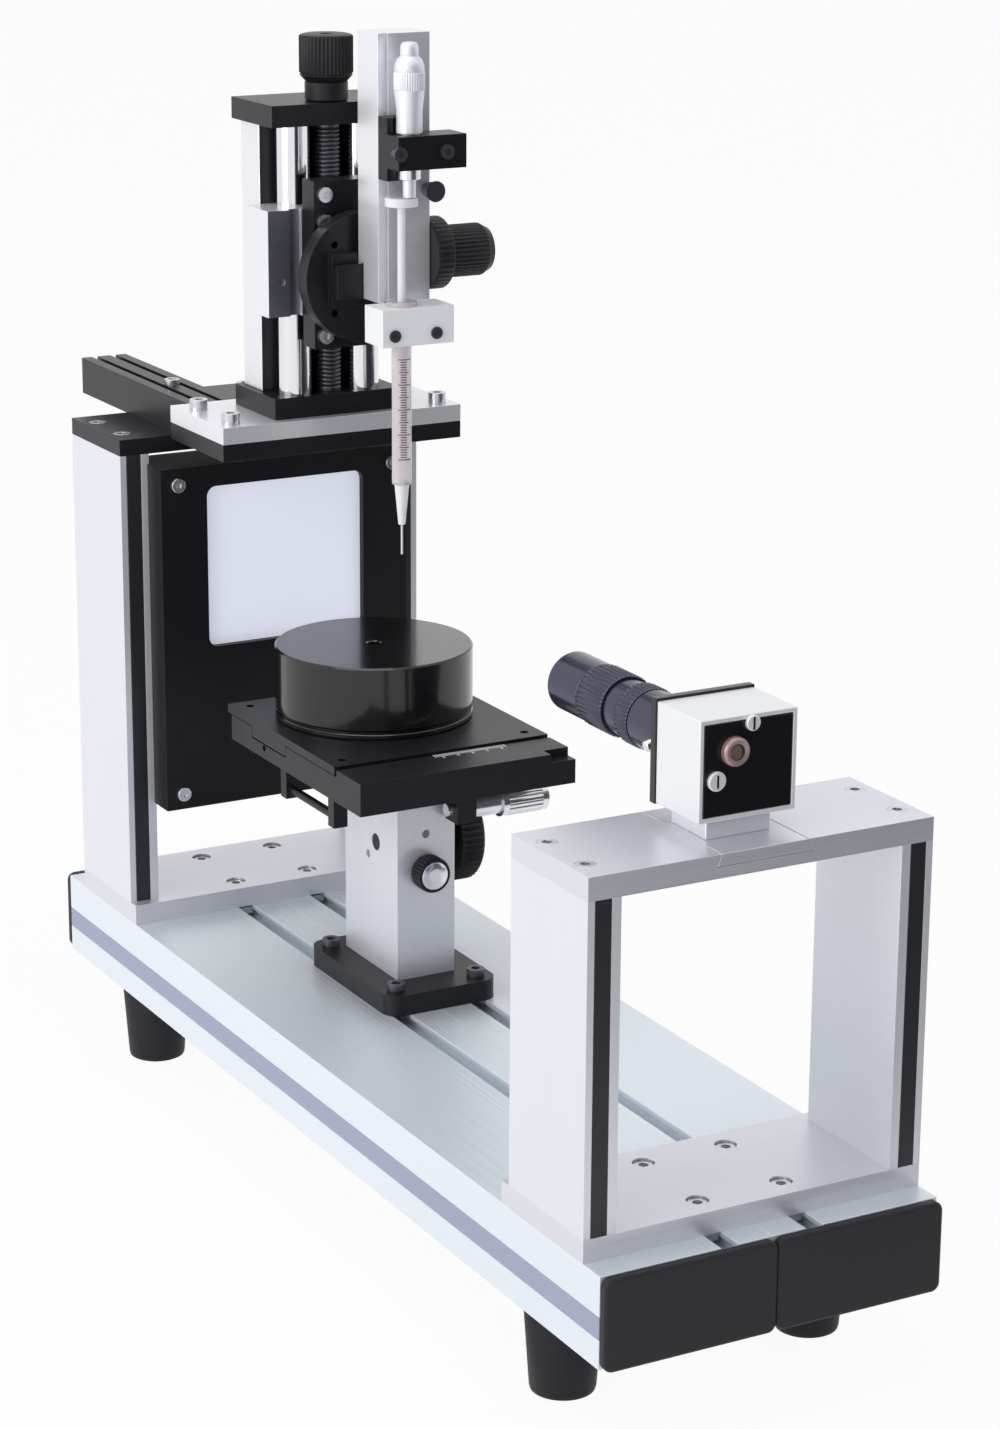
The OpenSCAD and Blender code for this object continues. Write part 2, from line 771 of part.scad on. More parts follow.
module micrometer_sleeve() {
    color("gainsboro") difference() {
        rod_z(micro_x, micro_y, sleeve_z, sleeve_d / 2, sleeve_top - sleeve_z + 12);
        rod_z(micro_x, micro_y, sleeve_z - 1, spindle_d / 2 + fit, 60);
    }
}

module micrometer_thimble() {
    color("lightgray") {
        difference() {
            union() {
                rod_z(micro_x, micro_y, thimble_z + 9, thimble_d / 2, thimble_h - 9);
                translate([micro_x, micro_y, thimble_z])
                    cylinder(d1 = sleeve_d + 2, d2 = thimble_d, h = 9);
                rod_z(micro_x, micro_y, thimble_z + thimble_h, 4, 6);
            }
            rod_z(micro_x, micro_y, thimble_z - 1, sleeve_d / 2 + gap, thimble_h - 4);
            for (a = [0 : 15 : 345]) translate([micro_x, micro_y, 0]) rotate([0, 0, a])
                translate([thimble_d / 2 + 0.3, 0, thimble_z + 20]) cylinder(r = 0.6, h = 11, $fn = 8);
        }
        rod_z(micro_x, micro_y, spindle_z, spindle_d / 2, thimble_z + thimble_h - 4 - spindle_z);
    }
}

module plunger_rod() {
    button_z = spindle_z - button_t - gap;
    color("lightgray") {
        difference() {
            rod_z(syringe_x, needle_y, button_z, 7.5, button_t);
            block(syringe_x, disp_front - 1 - gap, button_z - 1, 30, 20, button_t + 2);
        }
        rod_z(syringe_x, needle_y, seal_z + 6, 1.8, button_z - seal_z - 6);
        rod_z(syringe_x, needle_y, seal_z, barrel_bore / 2 - fit, 6);
    }
}

module syringe_holder() {
    color("whitesmoke") difference() {
        block(disp_x - 2, needle_y - 9, holder_z, disp_w + 10, 18, holder_h);
        rod_z(syringe_x, needle_y, holder_z - 1, barrel_d / 2, holder_h + 2);
        for (x = [-7, 14]) rod_y(x, needle_y - 10, holder_z + 5, 2, 5);
    }
}

module dispenser_screws() {
    color("silver") {
        for (x = [micro_x - 9.5, micro_x + 14]) translate([x, micro_y - 9, clamp_z + clamp_h / 2])
            rotate([90, 0, 0]) cap_screw(4, 6.5, 1.6, 4.5);
        for (x = [-7, 14]) translate([x, needle_y - 9, holder_z + 5]) rotate([90, 0, 0])
            cap_screw(4, 5.5, 1, 3.5);
    }
    color(black) translate([disp_x + 11.5, disp_front, thumb_z]) rotate([90, 0, 0]) {
        cylinder(d1 = 6, d2 = 9.5, h = 9);
        translate([0, 0, -5]) cylinder(d = 4, h = 6);
    }
}

module syringe_barrel() {
    color("lavenderblush") difference() {
        union() {
            rod_z(syringe_x, needle_y, barrel_z, barrel_d / 2, barrel_len + holder_h);
            rod_z(syringe_x, needle_y, holder_z + holder_h, barrel_d / 2 + 2.5, 2);
        }
        rod_z(syringe_x, needle_y, barrel_z + 2, barrel_bore / 2, barrel_len + holder_h + 4);
        rod_z(syringe_x, needle_y, barrel_z - 1, 0.6, 4);
    }
}

module needle_hub() {
    color("white") difference() {
        translate([syringe_x, needle_y, hub_z]) cylinder(r1 = 1.6, r2 = 3.4, h = hub_len);
        rod_z(syringe_x, needle_y, hub_z - 1, needle_d / 2, hub_len + 2);
    }
}

module needle() {
    color("gray") difference() {
        rod_z(syringe_x, needle_y, tip_z, needle_d / 2, needle_len + 12);
        rod_z(syringe_x, needle_y, tip_z - 1, needle_d / 5, needle_len + 14);
    }
}

// ---- Sample stage ----
module column_screw_places() {
    for (sx = [-1, 1], sy = [-1, 1])
        translate([lift_x + sx * (column_foot_w / 2 - 8), lift_y - 3 + sy * (column_foot_d / 2 - 9),
            base_top + foot_t]) children();
}

module column_foot_plate() {
    color(black) difference() {
        translate([lift_x, lift_y - 3, base_top]) linear_extrude(foot_t)
            rounded_rect(column_foot_w, column_foot_d, 8);
        column_screw_places() translate([0, 0, -foot_t - 1]) cylinder(d = 5.2, h = foot_t + 2);
    }
}

module column_foot_screws() {
    color("silver") column_screw_places() cap_screw(5, 8.5, 3.5, foot_t);
}

module lift_column() {
    color(silver) difference() {
        block(lift_x, lift_y - column_d / 2, column_z, column_w, column_d, column_h);
        block(lift_x, ram_y - gap, column_z + 4, ram_w + 2 * gap, ram_d + 2 * gap, column_h);
        block(lift_x, pinion_y - pinion_r - 1, column_z + 4, 2 * collar_w, 2 * pinion_r + 2,
            column_h);
        rod_x(lift_x + collar_w - 1, pinion_y, pinion_z, shaft_r + fit, column_w);
        rod_x(lift_x - column_w / 2 - 1, pinion_y, pinion_z, shaft_r + fit, column_w / 2);
        rod_y(lift_x, lift_y - column_d / 2 - 1, pinion_z - 10, 3 + fit, 17);
        rod_y(lift_x, lift_y - column_d / 2 - 1, pinion_z + 8, 2, 7);
        rod_x(lift_x - column_w / 2 - 1, lift_y + 3, pinion_z - 8, 2, 5);
    }
}

module lift_ram() {
    color("dimgray") {
        block(lift_x, ram_y, column_z + 8, ram_w, ram_d, stage_z - column_z - 8);
    }
}

module lift_pinion_knob() {
    color(black) translate([0, pinion_y, pinion_z]) rotate([0, 90, 0]) {
        translate([0, 0, lift_x - column_w / 2 + gap])
            cylinder(r = shaft_r, h = column_w + 3);
        translate([0, 0, lift_x - collar_w + 1]) cylinder(r = pinion_r, h = 2 * collar_w - 2);
        translate([0, 0, lift_x + column_w / 2 + 2]) cylinder(d = 18, h = 2);
        translate([0, 0, lift_x + column_w / 2 + 4]) difference() {
            cylinder(d = lift_knob_d, h = 12);
            translate([0, 0, 10]) cylinder(d = lift_knob_d - 12, h = 3);
            for (a = [0 : 10 : 350]) rotate([0, 0, a]) translate([lift_knob_d / 2 + 0.6, 0, -1])
                cylinder(r = 1.3, h = 14, $fn = 8);
        }
    }
}

module column_clamp_knob() {
    front = lift_y - column_d / 2;
    color("silver") translate([lift_x, front - gap, pinion_z - 10]) rotate([90, 0, 0]) difference() {
        union() {
            cylinder(d = 17, h = 9);
            translate([0, 0, -14]) cylinder(r = 3, h = 15);
        }
        for (a = [0 : 20 : 340]) rotate([0, 0, a]) translate([8.8, 0, 1])
            cylinder(r = 0.7, h = 7, $fn = 8);
    }
}

module stage_body() {
    color(black) difference() {
        union() {
            block(0, stage_y, stage_z, stage_w, stage_d, body_t);
            block(0, stage_y, stage_z, stage_w, ledge_d, ledge_t);
            block(lug_x, micro_lug_y - 6, lug_z - 6, 10, 12, stage_z - lug_z + 7);
            for (dy = [-25, 25]) block(-45, needle_y + dy - 3, stage_z - 18, 7, 6, 19);
            rod_y(-45, needle_y - 25, stage_z - 14, 2, 50);
        }
        rod_x(lug_x - 6, micro_lug_y, lug_z, 3, 12);
        block(0, table_y - tongue_w / 2 - gap, stage_z + body_t - tongue_h - gap, stage_w + 2,
            tongue_w + 2 * gap, tongue_h + 2);
        block(stage_w / 2 - 6, stage_y - 1, stage_z + ledge_t - 4, 14, 8, 6);
        rod_x(-stage_w / 2 - 1, stage_y + 100, stage_z + 5, 1.5, 6);
    }
}

module stage_top_plate() {
    color(black) difference() {
        union() {
            block(0, top_y, top_z, stage_w, top_plate_d, top_t);
            block(0, table_y - tongue_w / 2, top_z - tongue_h, stage_w, tongue_w, tongue_h);
        }
        rod_z(0, table_y, top_z - 3, 10 + fit, top_t + 4);
        for (sx = [-1, 1], dy = [8, top_plate_d - 8])
            rod_z(sx * (stage_w / 2 - 8), top_y + dy, top_z - 1, 2, top_t + 2);
    }
}

module traverse_micrometer() {
    knob_x = lug_x + 5 + gap;
    color("lightgray") difference() {
        union() {
            rod_x(knob_x, micro_lug_y, lug_z, 5.5, 14);
            rod_x(knob_x + 14, micro_lug_y, lug_z, 7, 24);
            rod_x(lug_x - 8, micro_lug_y, lug_z, 3 - fit, knob_x - lug_x + 9);
        }
        for (a = [0 : 18 : 342]) translate([knob_x + 17, micro_lug_y, lug_z]) rotate([a, 0, 0])
            translate([0, 7.3, 0]) rotate([0, 90, 0]) cylinder(r = 0.7, h = 18, $fn = 8);
    }
}

module round_table() {
    color(black) difference() {
        union() {
            rod_z(0, table_y, table_z, table_d / 2, table_h);
            rod_z(0, table_y, table_z - top_t - gap, 10, top_t + gap);
        }
        translate([0, table_y, table_z + 3]) rotate_extrude()
            translate([table_d / 2, 0]) square([1.2, 1], center = true);
        rod_z(0, table_y, table_z + table_h - 6, 3, 7);
    }
}

// ---- Camera and lens ----
module camera_slide_bar() {
    color(bare) translate([0, bridge_y + upright_d, deck_z]) rotate([90, 0, 0])
        linear_extrude(upright_d) polygon([[-bar_w / 2, 0], [-bar_w / 2 - dovetail, -bar_t],
            [bar_w / 2 + dovetail, -bar_t], [bar_w / 2, 0]]);
}

module camera_block() {
    color(bare) block(-2, camera_y + 3, deck_z, 30, camera_d - 6, camera_block_h);
}

module camera_body() {
    color(silver) difference() {
        block(0, camera_y, camera_z, camera_w, camera_d, camera_h);
        block(0, camera_y - 1, camera_z + 2, camera_w - 4, 3, camera_h - 4);
        rod_y(0, camera_y + 8, lens_z, 9, camera_d);
    }
}

module camera_fittings() {
    color(black) {
        difference() {
            block(0, camera_y, camera_z + 2 + seat, camera_w - 4 - 2 * seat, 2, camera_h - 4 - 2 * seat);
            rod_y(-7, camera_y - 1, camera_z + camera_h - 14, 5, 4);
        }
        difference() {
            block(0, camera_y + camera_d, camera_z - 0.5, camera_w + 1, flange_t, camera_h + 1.5);
            rod_y(0, camera_y + camera_d - 1, lens_z, core_r - 2, flange_t + 2);
        }
    }
    color("rosybrown") difference() {
        rod_y(-7, camera_y - 3, camera_z + camera_h - 14, 5 - seat, 5);
        rod_y(-7, camera_y - 4, camera_z + camera_h - 14, 3, 5);
    }
}

ring_1 = [36, 46];
ring_2 = [56, 76];

module lens_barrel() {
    color("dimgray") translate([0, lens_y, lens_z]) rotate([-90, 0, 0]) difference() {
        union() {
            cylinder(r = core_r, h = lens_len);
            cylinder(d = lens_d - 3, h = 6);
            translate([0, 0, 6]) cylinder(d = lens_d, h = ring_1[0] - gap - 6);
            translate([0, 0, ring_1[1] + gap]) cylinder(d = lens_d - 1,
                h = ring_2[0] - ring_1[1] - 2 * gap);
            translate([0, 0, ring_2[1] + gap]) cylinder(d = lens_d + 1,
                h = lens_len - ring_2[1] - gap);
        }
        translate([0, 0, -1]) cylinder(r = core_r - 2, h = lens_len - 9);
        translate([0, 0, lens_len - 6]) cylinder(r = core_r, h = 7);
    }
}

module lens_ring(span, d) {
    translate([0, lens_y + span[0], lens_z]) rotate([-90, 0, 0]) difference() {
        cylinder(d = d, h = span[1] - span[0]);
        translate([0, 0, -1]) cylinder(r = core_r + fit, h = 40);
        for (a = [0 : 12 : 348]) rotate([0, 0, a]) translate([d / 2 + 0.3, 0, 1.5])
            cylinder(r = 0.6, h = span[1] - span[0] - 3, $fn = 8);
    }
}

module lens_glass() {
    color("lightsteelblue") rod_y(0, lens_y + lens_len - 6, lens_z, core_r, 3);
}

module focus_ring() { color("gray") lens_ring(ring_2, lens_d + 2); }
module aperture_ring() { color("gray") lens_ring(ring_1, lens_d + 1.5); }

base_profile_left();
base_profile_right();
end_caps();
side_slot_covers();
rubber_feet();
foot_screws();
frame_foot_plates();
bridge_uprights();
bridge_top_plate();
tower_uprights();
tower_top_plate();
upright_strips();
frame_screws();
light_housing();
light_front_frame();
light_diffuser();
light_board();
light_screws();
support_beam();
cantilever_plate();
slide_mount_plate();
mount_plate_screws();
slide_end_plates();
slide_guide_rods();
slide_back_plate();
slide_carriage();
lead_screw();
slide_knob();
carriage_flange();
flange_screws();
tilt_disc();
dispenser_column();
cross_knob();
micrometer_bracket();
micrometer_sleeve();
micrometer_thimble();
plunger_rod();
syringe_holder();
dispenser_screws();
syringe_barrel();
needle_hub();
needle();
column_foot_plate();
column_foot_screws();
lift_column();
lift_ram();
lift_pinion_knob();
column_clamp_knob();
stage_body();
stage_top_plate();
traverse_micrometer();
round_table();
camera_slide_bar();
camera_block();
camera_body();
camera_fittings();
lens_barrel();
lens_glass();
focus_ring();
aperture_ring();
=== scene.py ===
import json
import math

import bmesh
import bpy
from mathutils import Matrix, Vector


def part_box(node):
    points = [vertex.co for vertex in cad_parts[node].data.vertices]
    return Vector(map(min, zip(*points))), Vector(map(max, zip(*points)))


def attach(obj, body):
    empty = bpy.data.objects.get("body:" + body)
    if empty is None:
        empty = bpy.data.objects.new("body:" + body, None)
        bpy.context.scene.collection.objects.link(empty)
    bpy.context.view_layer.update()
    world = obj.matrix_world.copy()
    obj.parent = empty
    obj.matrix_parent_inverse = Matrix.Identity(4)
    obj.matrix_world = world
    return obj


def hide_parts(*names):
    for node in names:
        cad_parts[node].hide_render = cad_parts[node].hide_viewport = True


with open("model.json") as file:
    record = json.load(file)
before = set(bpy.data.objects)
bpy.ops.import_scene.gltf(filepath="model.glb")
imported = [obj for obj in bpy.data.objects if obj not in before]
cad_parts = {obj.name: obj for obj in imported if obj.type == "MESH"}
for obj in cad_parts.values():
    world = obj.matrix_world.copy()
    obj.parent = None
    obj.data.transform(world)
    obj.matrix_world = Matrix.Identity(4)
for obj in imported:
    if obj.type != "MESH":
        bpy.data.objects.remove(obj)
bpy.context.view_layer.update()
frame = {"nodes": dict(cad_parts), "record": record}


# ---------------------------------------------------------------------------------------------
# Camera. A long lens at the left of the instrument's front end looks along the base and down on
# the sample stage.
# ---------------------------------------------------------------------------------------------
camera_place = Vector((-0.72308, -1.36427, 0.67874))
camera_turn = math.radians(-28.97)
camera_dip = math.radians(16.47)
camera_roll = math.radians(0.37)
camera_lens = 89.1

look = Vector((-math.sin(camera_turn) * math.cos(camera_dip),
               math.cos(camera_turn) * math.cos(camera_dip),
               -math.sin(camera_dip)))
level = Vector((math.cos(camera_turn), math.sin(camera_turn), 0))
above = level.cross(look)
camera_x = level * math.cos(camera_roll) + above * math.sin(camera_roll)
camera_y = above * math.cos(camera_roll) - level * math.sin(camera_roll)
camera_data = bpy.data.cameras.new("studio_camera")
camera_data.lens = camera_lens
camera_data.sensor_width = 36
camera = bpy.data.objects.new("studio_camera", camera_data)
bpy.context.scene.collection.objects.link(camera)
camera.matrix_world = Matrix.Translation(camera_place) @ Matrix(
    (camera_x, camera_y, -look)).transposed().to_4x4()
bpy.context.scene.camera = camera


# ---------------------------------------------------------------------------------------------
# Studio. A white world and floor under large soft lamps: the main one stands on the left, a
# weaker one hangs overhead, and black cards at the front give the metal and the blacks their
# depth. Only reflections see the cards.
# ---------------------------------------------------------------------------------------------
scene = bpy.context.scene
scene.view_settings.view_transform = "Standard"


def new_material(name):
    material = bpy.data.materials.new(name)
    material.use_nodes = True
    nodes = material.node_tree.nodes
    nodes.clear()
    return material, nodes, material.node_tree.links


def seen_directly(nodes, links):
    """1 for camera, glossy and transmission rays, which see the white studio itself."""
    path = nodes.new("ShaderNodeLightPath")
    first = nodes.new("ShaderNodeMath")
    first.operation = "MAXIMUM"
    links.new(path.outputs["Is Camera Ray"], first.inputs[0])
    links.new(path.outputs["Is Glossy Ray"], first.inputs[1])
    second = nodes.new("ShaderNodeMath")
    second.operation = "MAXIMUM"
    links.new(first.outputs[0], second.inputs[0])
    links.new(path.outputs["Is Transmission Ray"], second.inputs[1])
    return second.outputs[0]


world = bpy.data.worlds.new("white_studio")
scene.world = world
world.use_nodes = True
sky, sky_links = world.node_tree.nodes, world.node_tree.links
sky.clear()
white_sky = sky.new("ShaderNodeBackground")
white_sky.inputs["Color"].default_value = (1, 1, 1, 1)
white_sky.inputs["Strength"].default_value = 1.0
soft_sky = sky.new("ShaderNodeBackground")
soft_sky.inputs["Color"].default_value = (0.93, 0.96, 1.0, 1)
soft_sky.inputs["Strength"].default_value = 0.55
sky_mix = sky.new("ShaderNodeMixShader")
sky_out = sky.new("ShaderNodeOutputWorld")
sky_links.new(seen_directly(sky, sky_links), sky_mix.inputs[0])
sky_links.new(soft_sky.outputs[0], sky_mix.inputs[1])
sky_links.new(white_sky.outputs[0], sky_mix.inputs[2])
sky_links.new(sky_mix.outputs[0], sky_out.inputs[0])

floor_material, nodes, links = new_material("white_floor")
floor_paint = nodes.new("ShaderNodeBsdfDiffuse")
floor_paint.inputs["Color"].default_value = (0.92, 0.92, 0.93, 1)
floor_glow = nodes.new("ShaderNodeEmission")
floor_glow.inputs["Color"].default_value = (1, 1, 1, 1)
floor_glow.inputs["Strength"].default_value = 1.0
floor_lift = nodes.new("ShaderNodeMath")
floor_lift.operation = "MULTIPLY"
floor_lift.inputs[1].default_value = 0.93
floor_mix = nodes.new("ShaderNodeMixShader")
floor_out = nodes.new("ShaderNodeOutputMaterial")
links.new(seen_directly(nodes, links), floor_lift.inputs[0])
links.new(floor_lift.outputs[0], floor_mix.inputs[0])
links.new(floor_paint.outputs[0], floor_mix.inputs[1])
links.new(floor_glow.outputs[0], floor_mix.inputs[2])
links.new(floor_mix.outputs[0], floor_out.inputs[0])


def card(name, corners, material):
    mesh = bpy.data.meshes.new(name)
    mesh.from_pydata([Vector(c) for c in corners], [], [range(len(corners))])
    plane = bpy.data.objects.new(name, mesh)
    scene.collection.objects.link(plane)
    plane.data.materials.append(material)
    return plane


card("floor", [(-9, -9, 0), (9, -9, 0), (9, 9, 0), (-9, 9, 0)], floor_material)

card_material, nodes, links = new_material("black_card")
card_paint = nodes.new("ShaderNodeBsdfDiffuse")
card_paint.inputs["Color"].default_value = (0.05, 0.05, 0.06, 1)
card_out = nodes.new("ShaderNodeOutputMaterial")
links.new(card_paint.outputs[0], card_out.inputs[0])
front_card = card("front_card", [(-0.45, -2.0, 0.0), (1.5, -1.6, 0.0), (1.5, -1.6, 1.5),
                                 (-0.45, -2.0, 1.5)], card_material)
floor_card = card("floor_card", [(0.12, -2.2, 0.001), (1.8, -2.2, 0.001), (1.8, -0.45, 0.001),
                                 (0.12, -0.45, 0.001)], card_material)
for black_card in (front_card, floor_card):
    black_card.visible_camera = False
    black_card.visible_diffuse = False
    black_card.visible_shadow = False
    black_card.visible_transmission = False


def soft_lamp(name, place, aim, size, power, colour):
    lamp_data = bpy.data.lights.new(name, "AREA")
    lamp_data.shape = "RECTANGLE"
    lamp_data.size, lamp_data.size_y = size
    lamp_data.energy = power
    lamp_data.color = colour
    lamp = bpy.data.objects.new(name, lamp_data)
    scene.collection.objects.link(lamp)
    lamp.location = place
    lamp.rotation_euler = (Vector(aim) - Vector(place)).to_track_quat("-Z", "Y").to_euler()
    return lamp


soft_lamp("left_lamp", (-2.2, -0.35, 1.0), (0, 0, 0.25), (1.8, 1.8), 26, (1.0, 0.99, 0.97))
soft_lamp("top_lamp", (-0.3, 0.1, 2.4), (0, 0, 0.2), (1.6, 1.6), 14, (0.92, 0.97, 1.0))


# ---------------------------------------------------------------------------------------------
# Base profiles. Two extruded aluminium profiles lie side by side under everything else. They
# are natural anodised, with a T-slot beside the seam and shallow ribs from the die on top.
# ---------------------------------------------------------------------------------------------
record = frame["record"]
body_of_node = {node: body for body, held in record["behaviour"]["bodies"].items()
                for node in held}


def noise_at(nodes, links, coordinates, scale, stretch=(1, 1, 1), detail=3.0):
    place = nodes.new("ShaderNodeMapping")
    place.inputs["Scale"].default_value = stretch
    noise = nodes.new("ShaderNodeTexNoise")
    noise.inputs["Scale"].default_value = scale
    noise.inputs["Detail"].default_value = detail
    links.new(coordinates, place.inputs["Vector"])
    links.new(place.outputs[0], noise.inputs["Vector"])
    return noise.outputs["Fac"]


def surface_group():
    """Grain of a treated surface: a blasted speckle, streaks along one axis and slow clouding."""
    group = bpy.data.node_groups.new("surface_grain", "ShaderNodeTree")
    face = group.interface
    face.new_socket(name="Coordinates", in_out="INPUT", socket_type="NodeSocketVector")
    for name, value in (("Speckle", 0.5), ("Streaks", 0.5), ("Clouding", 0.5)):
        amount_socket = face.new_socket(name=name, in_out="INPUT", socket_type="NodeSocketFloat")
        amount_socket.default_value = value
    face.new_socket(name="Streak Stretch", in_out="INPUT", socket_type="NodeSocketVector")
    for name in ("Shade", "Height"):
        face.new_socket(name=name, in_out="OUTPUT", socket_type="NodeSocketFloat")
    nodes, links = group.nodes, group.links
    inside = nodes.new("NodeGroupInput")
    outside = nodes.new("NodeGroupOutput")
    speckle = noise_at(nodes, links, inside.outputs["Coordinates"], 2600, detail=2.0)
    cloud = noise_at(nodes, links, inside.outputs["Coordinates"], 22, detail=4.0)
    stretch = nodes.new("ShaderNodeVectorMath")
    stretch.operation = "MULTIPLY"
    links.new(inside.outputs["Coordinates"], stretch.inputs[0])
    links.new(inside.outputs["Streak Stretch"], stretch.inputs[1])
    streaks = noise_at(nodes, links, stretch.outputs[0], 900, detail=4.0)
    total = None
    height = None
    for value, amount in ((speckle, "Speckle"), (streaks, "Streaks"), (cloud, "Clouding")):
        centred = nodes.new("ShaderNodeMath")
        centred.operation = "SUBTRACT"
        centred.inputs[1].default_value = 0.5
        links.new(value, centred.inputs[0])
        scaled = nodes.new("ShaderNodeMath")
        scaled.operation = "MULTIPLY"
        links.new(centred.outputs[0], scaled.inputs[0])
        links.new(inside.outputs[amount], scaled.inputs[1])
        if total is None:
            total = scaled.outputs[0]
        else:
            added = nodes.new("ShaderNodeMath")
            added.operation = "ADD"
            links.new(total, added.inputs[0])
            links.new(scaled.outputs[0], added.inputs[1])
            total = added.outputs[0]
        if amount == "Streaks":
            height = total
    links.new(total, outside.inputs["Shade"])
    links.new(height, outside.inputs["Height"])
    return group


grain_group = surface_group()


def coated(name, colour, metallic, roughness, speckle=0.4, streaks=0.3, clouding=0.3,
           stretch=(1, 1, 1), bump=0.08, shade=0.12, coat=0.0, specular=0.5):
    """A Principled surface whose colour, roughness and relief follow its grain."""
    material, nodes, links = new_material(name)
    place = nodes.new("ShaderNodeTexCoord")
    grain = nodes.new("ShaderNodeGroup")
    grain.node_tree = grain_group
    grain.inputs["Speckle"].default_value = speckle
    grain.inputs["Streaks"].default_value = streaks
    grain.inputs["Clouding"].default_value = clouding
    grain.inputs["Streak Stretch"].default_value = stretch
    links.new(place.outputs["Object"], grain.inputs["Coordinates"])
    tone = nodes.new("ShaderNodeMapRange")
    tone.inputs["From Min"].default_value = -0.4
    tone.inputs["From Max"].default_value = 0.4
    links.new(grain.outputs["Shade"], tone.inputs["Value"])
    tint = nodes.new("ShaderNodeMix")
    tint.data_type = "RGBA"
    tint.inputs["A"].default_value = (*[c * (1 - shade) for c in colour], 1)
    tint.inputs["B"].default_value = (*[min(1.0, c * (1 + shade)) for c in colour], 1)
    links.new(tone.outputs[0], tint.inputs["Factor"])
    rough = nodes.new("ShaderNodeMapRange")
    rough.inputs["From Min"].default_value = -0.4
    rough.inputs["From Max"].default_value = 0.4
    rough.inputs["To Min"].default_value = roughness * 0.8
    rough.inputs["To Max"].default_value = roughness * 1.2
    links.new(grain.outputs["Shade"], rough.inputs["Value"])
    relief = nodes.new("ShaderNodeBump")
    relief.inputs["Strength"].default_value = bump
    relief.inputs["Distance"].default_value = 0.0002
    links.new(grain.outputs["Height"], relief.inputs["Height"])
    surface = nodes.new("ShaderNodeBsdfPrincipled")
    surface.inputs["Metallic"].default_value = metallic
    surface.inputs["Coat Weight"].default_value = coat
    surface.inputs["Specular IOR Level"].default_value = specular
    links.new(tint.outputs["Result"], surface.inputs["Base Color"])
    links.new(rough.outputs[0], surface.inputs["Roughness"])
    links.new(relief.outputs[0], surface.inputs["Normal"])
    out = nodes.new("ShaderNodeOutputMaterial")
    links.new(surface.outputs[0], out.inputs[0])
    return material


def add_piece(name, bm, material, body, replaced=(), edge=0.0, edge_angle=40):
    """Turns a bmesh into a piece that rides on a body, with its edges broken by edge metres."""
    mesh = bpy.data.meshes.new(name)
    bmesh.ops.recalc_face_normals(bm, faces=bm.faces)
    bm.to_mesh(mesh)
    bm.free()
    mesh.shade_smooth()
    mesh.set_sharp_from_angle(angle=math.radians(edge_angle))
    piece = bpy.data.objects.new(name, mesh)
    scene.collection.objects.link(piece)
    mesh.materials.append(material)
    if edge:
        bevel = piece.modifiers.new("broken_edges", "BEVEL")
        bevel.width = edge
        bevel.segments = 4 if edge > 0.0015 else 2
        bevel.limit_method = "ANGLE"
        bevel.angle_limit = math.radians(edge_angle)
        bevel.use_clamp_overlap = True
        even = piece.modifiers.new("even_shading", "WEIGHTED_NORMAL")
        even.weight = 50
        even.keep_sharp = True
    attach(piece, body)
    if replaced:
        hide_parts(*replaced)
    return piece


def slot_outline(x, z, up, lip, depth, opening, chamber):
    """Points of a T-slot that opens at (x, z), from its -X side to its +X side."""
    half, wide = opening / 2, chamber / 2
    return [(x - half, z), (x - half, z - up * lip), (x - wide, z - up * lip),
            (x - wide, z - up * depth), (x + wide, z - up * depth), (x + wide, z - up * lip),
            (x + half, z - up * lip), (x + half, z)]


def rib_outline(x, z, width, depth):
    return [(x - width / 2, z), (x, z - depth), (x + width / 2, z)]


silver_along = coated("natural_anodised_profile", (0.80, 0.85, 0.90), 0.40, 0.40, speckle=0.25,
                      streaks=0.25, clouding=0.15, stretch=(1, 0.004, 1), bump=0.02, shade=0.03)

slot_lip, slot_depth = 0.0025, 0.0075
slot_opening, slot_chamber = 0.008, 0.015
slot_place, under_slot_places = 0.020, (0.060, 0.020)
groove_depth = 0.0021
rib_width, rib_depth = 0.0011, 0.00018
rib_places = (0.0085, 0.0115, 0.0285, 0.0315, 0.0345, 0.046, 0.052, 0.058, 0.064, 0.070, 0.076)

for side, node in ((-1, "base_profile_left"), (1, "base_profile_right")):
    low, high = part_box(node)
    width, bottom, top = high.x - low.x, low.z, high.z
    strip_low, strip_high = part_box("side_slot_covers")
    outline = [(0, bottom), (0, top)]
    for place in sorted(rib_places + (slot_place,)):
        if place == slot_place:
            outline += slot_outline(place, top, 1, slot_lip, slot_depth, slot_opening, slot_chamber)
        else:
            outline += rib_outline(place, top, rib_width, rib_depth)
    outline += [(width, top), (width, strip_high.z), (width - groove_depth, strip_high.z),
                (width - groove_depth, strip_low.z), (width, strip_low.z), (width, bottom)]
    for place in under_slot_places:
        outline += slot_outline(place, bottom, -1, slot_lip, slot_depth, slot_opening,
                                slot_chamber)[::-1]
    bm = bmesh.new()
    ends = [[bm.verts.new((side * x, y, z)) for x, z in outline] for y in (low.y, high.y)]
    for index in range(len(outline)):
        after = (index + 1) % len(outline)
        bm.faces.new((ends[0][index], ends[0][after], ends[1][after], ends[1][index]))
    for end in ends:
        bm.faces.new(end)
    add_piece(node + "_extruded", bm, silver_along, "frame", (node,),
              edge=0.0003, edge_angle=50)


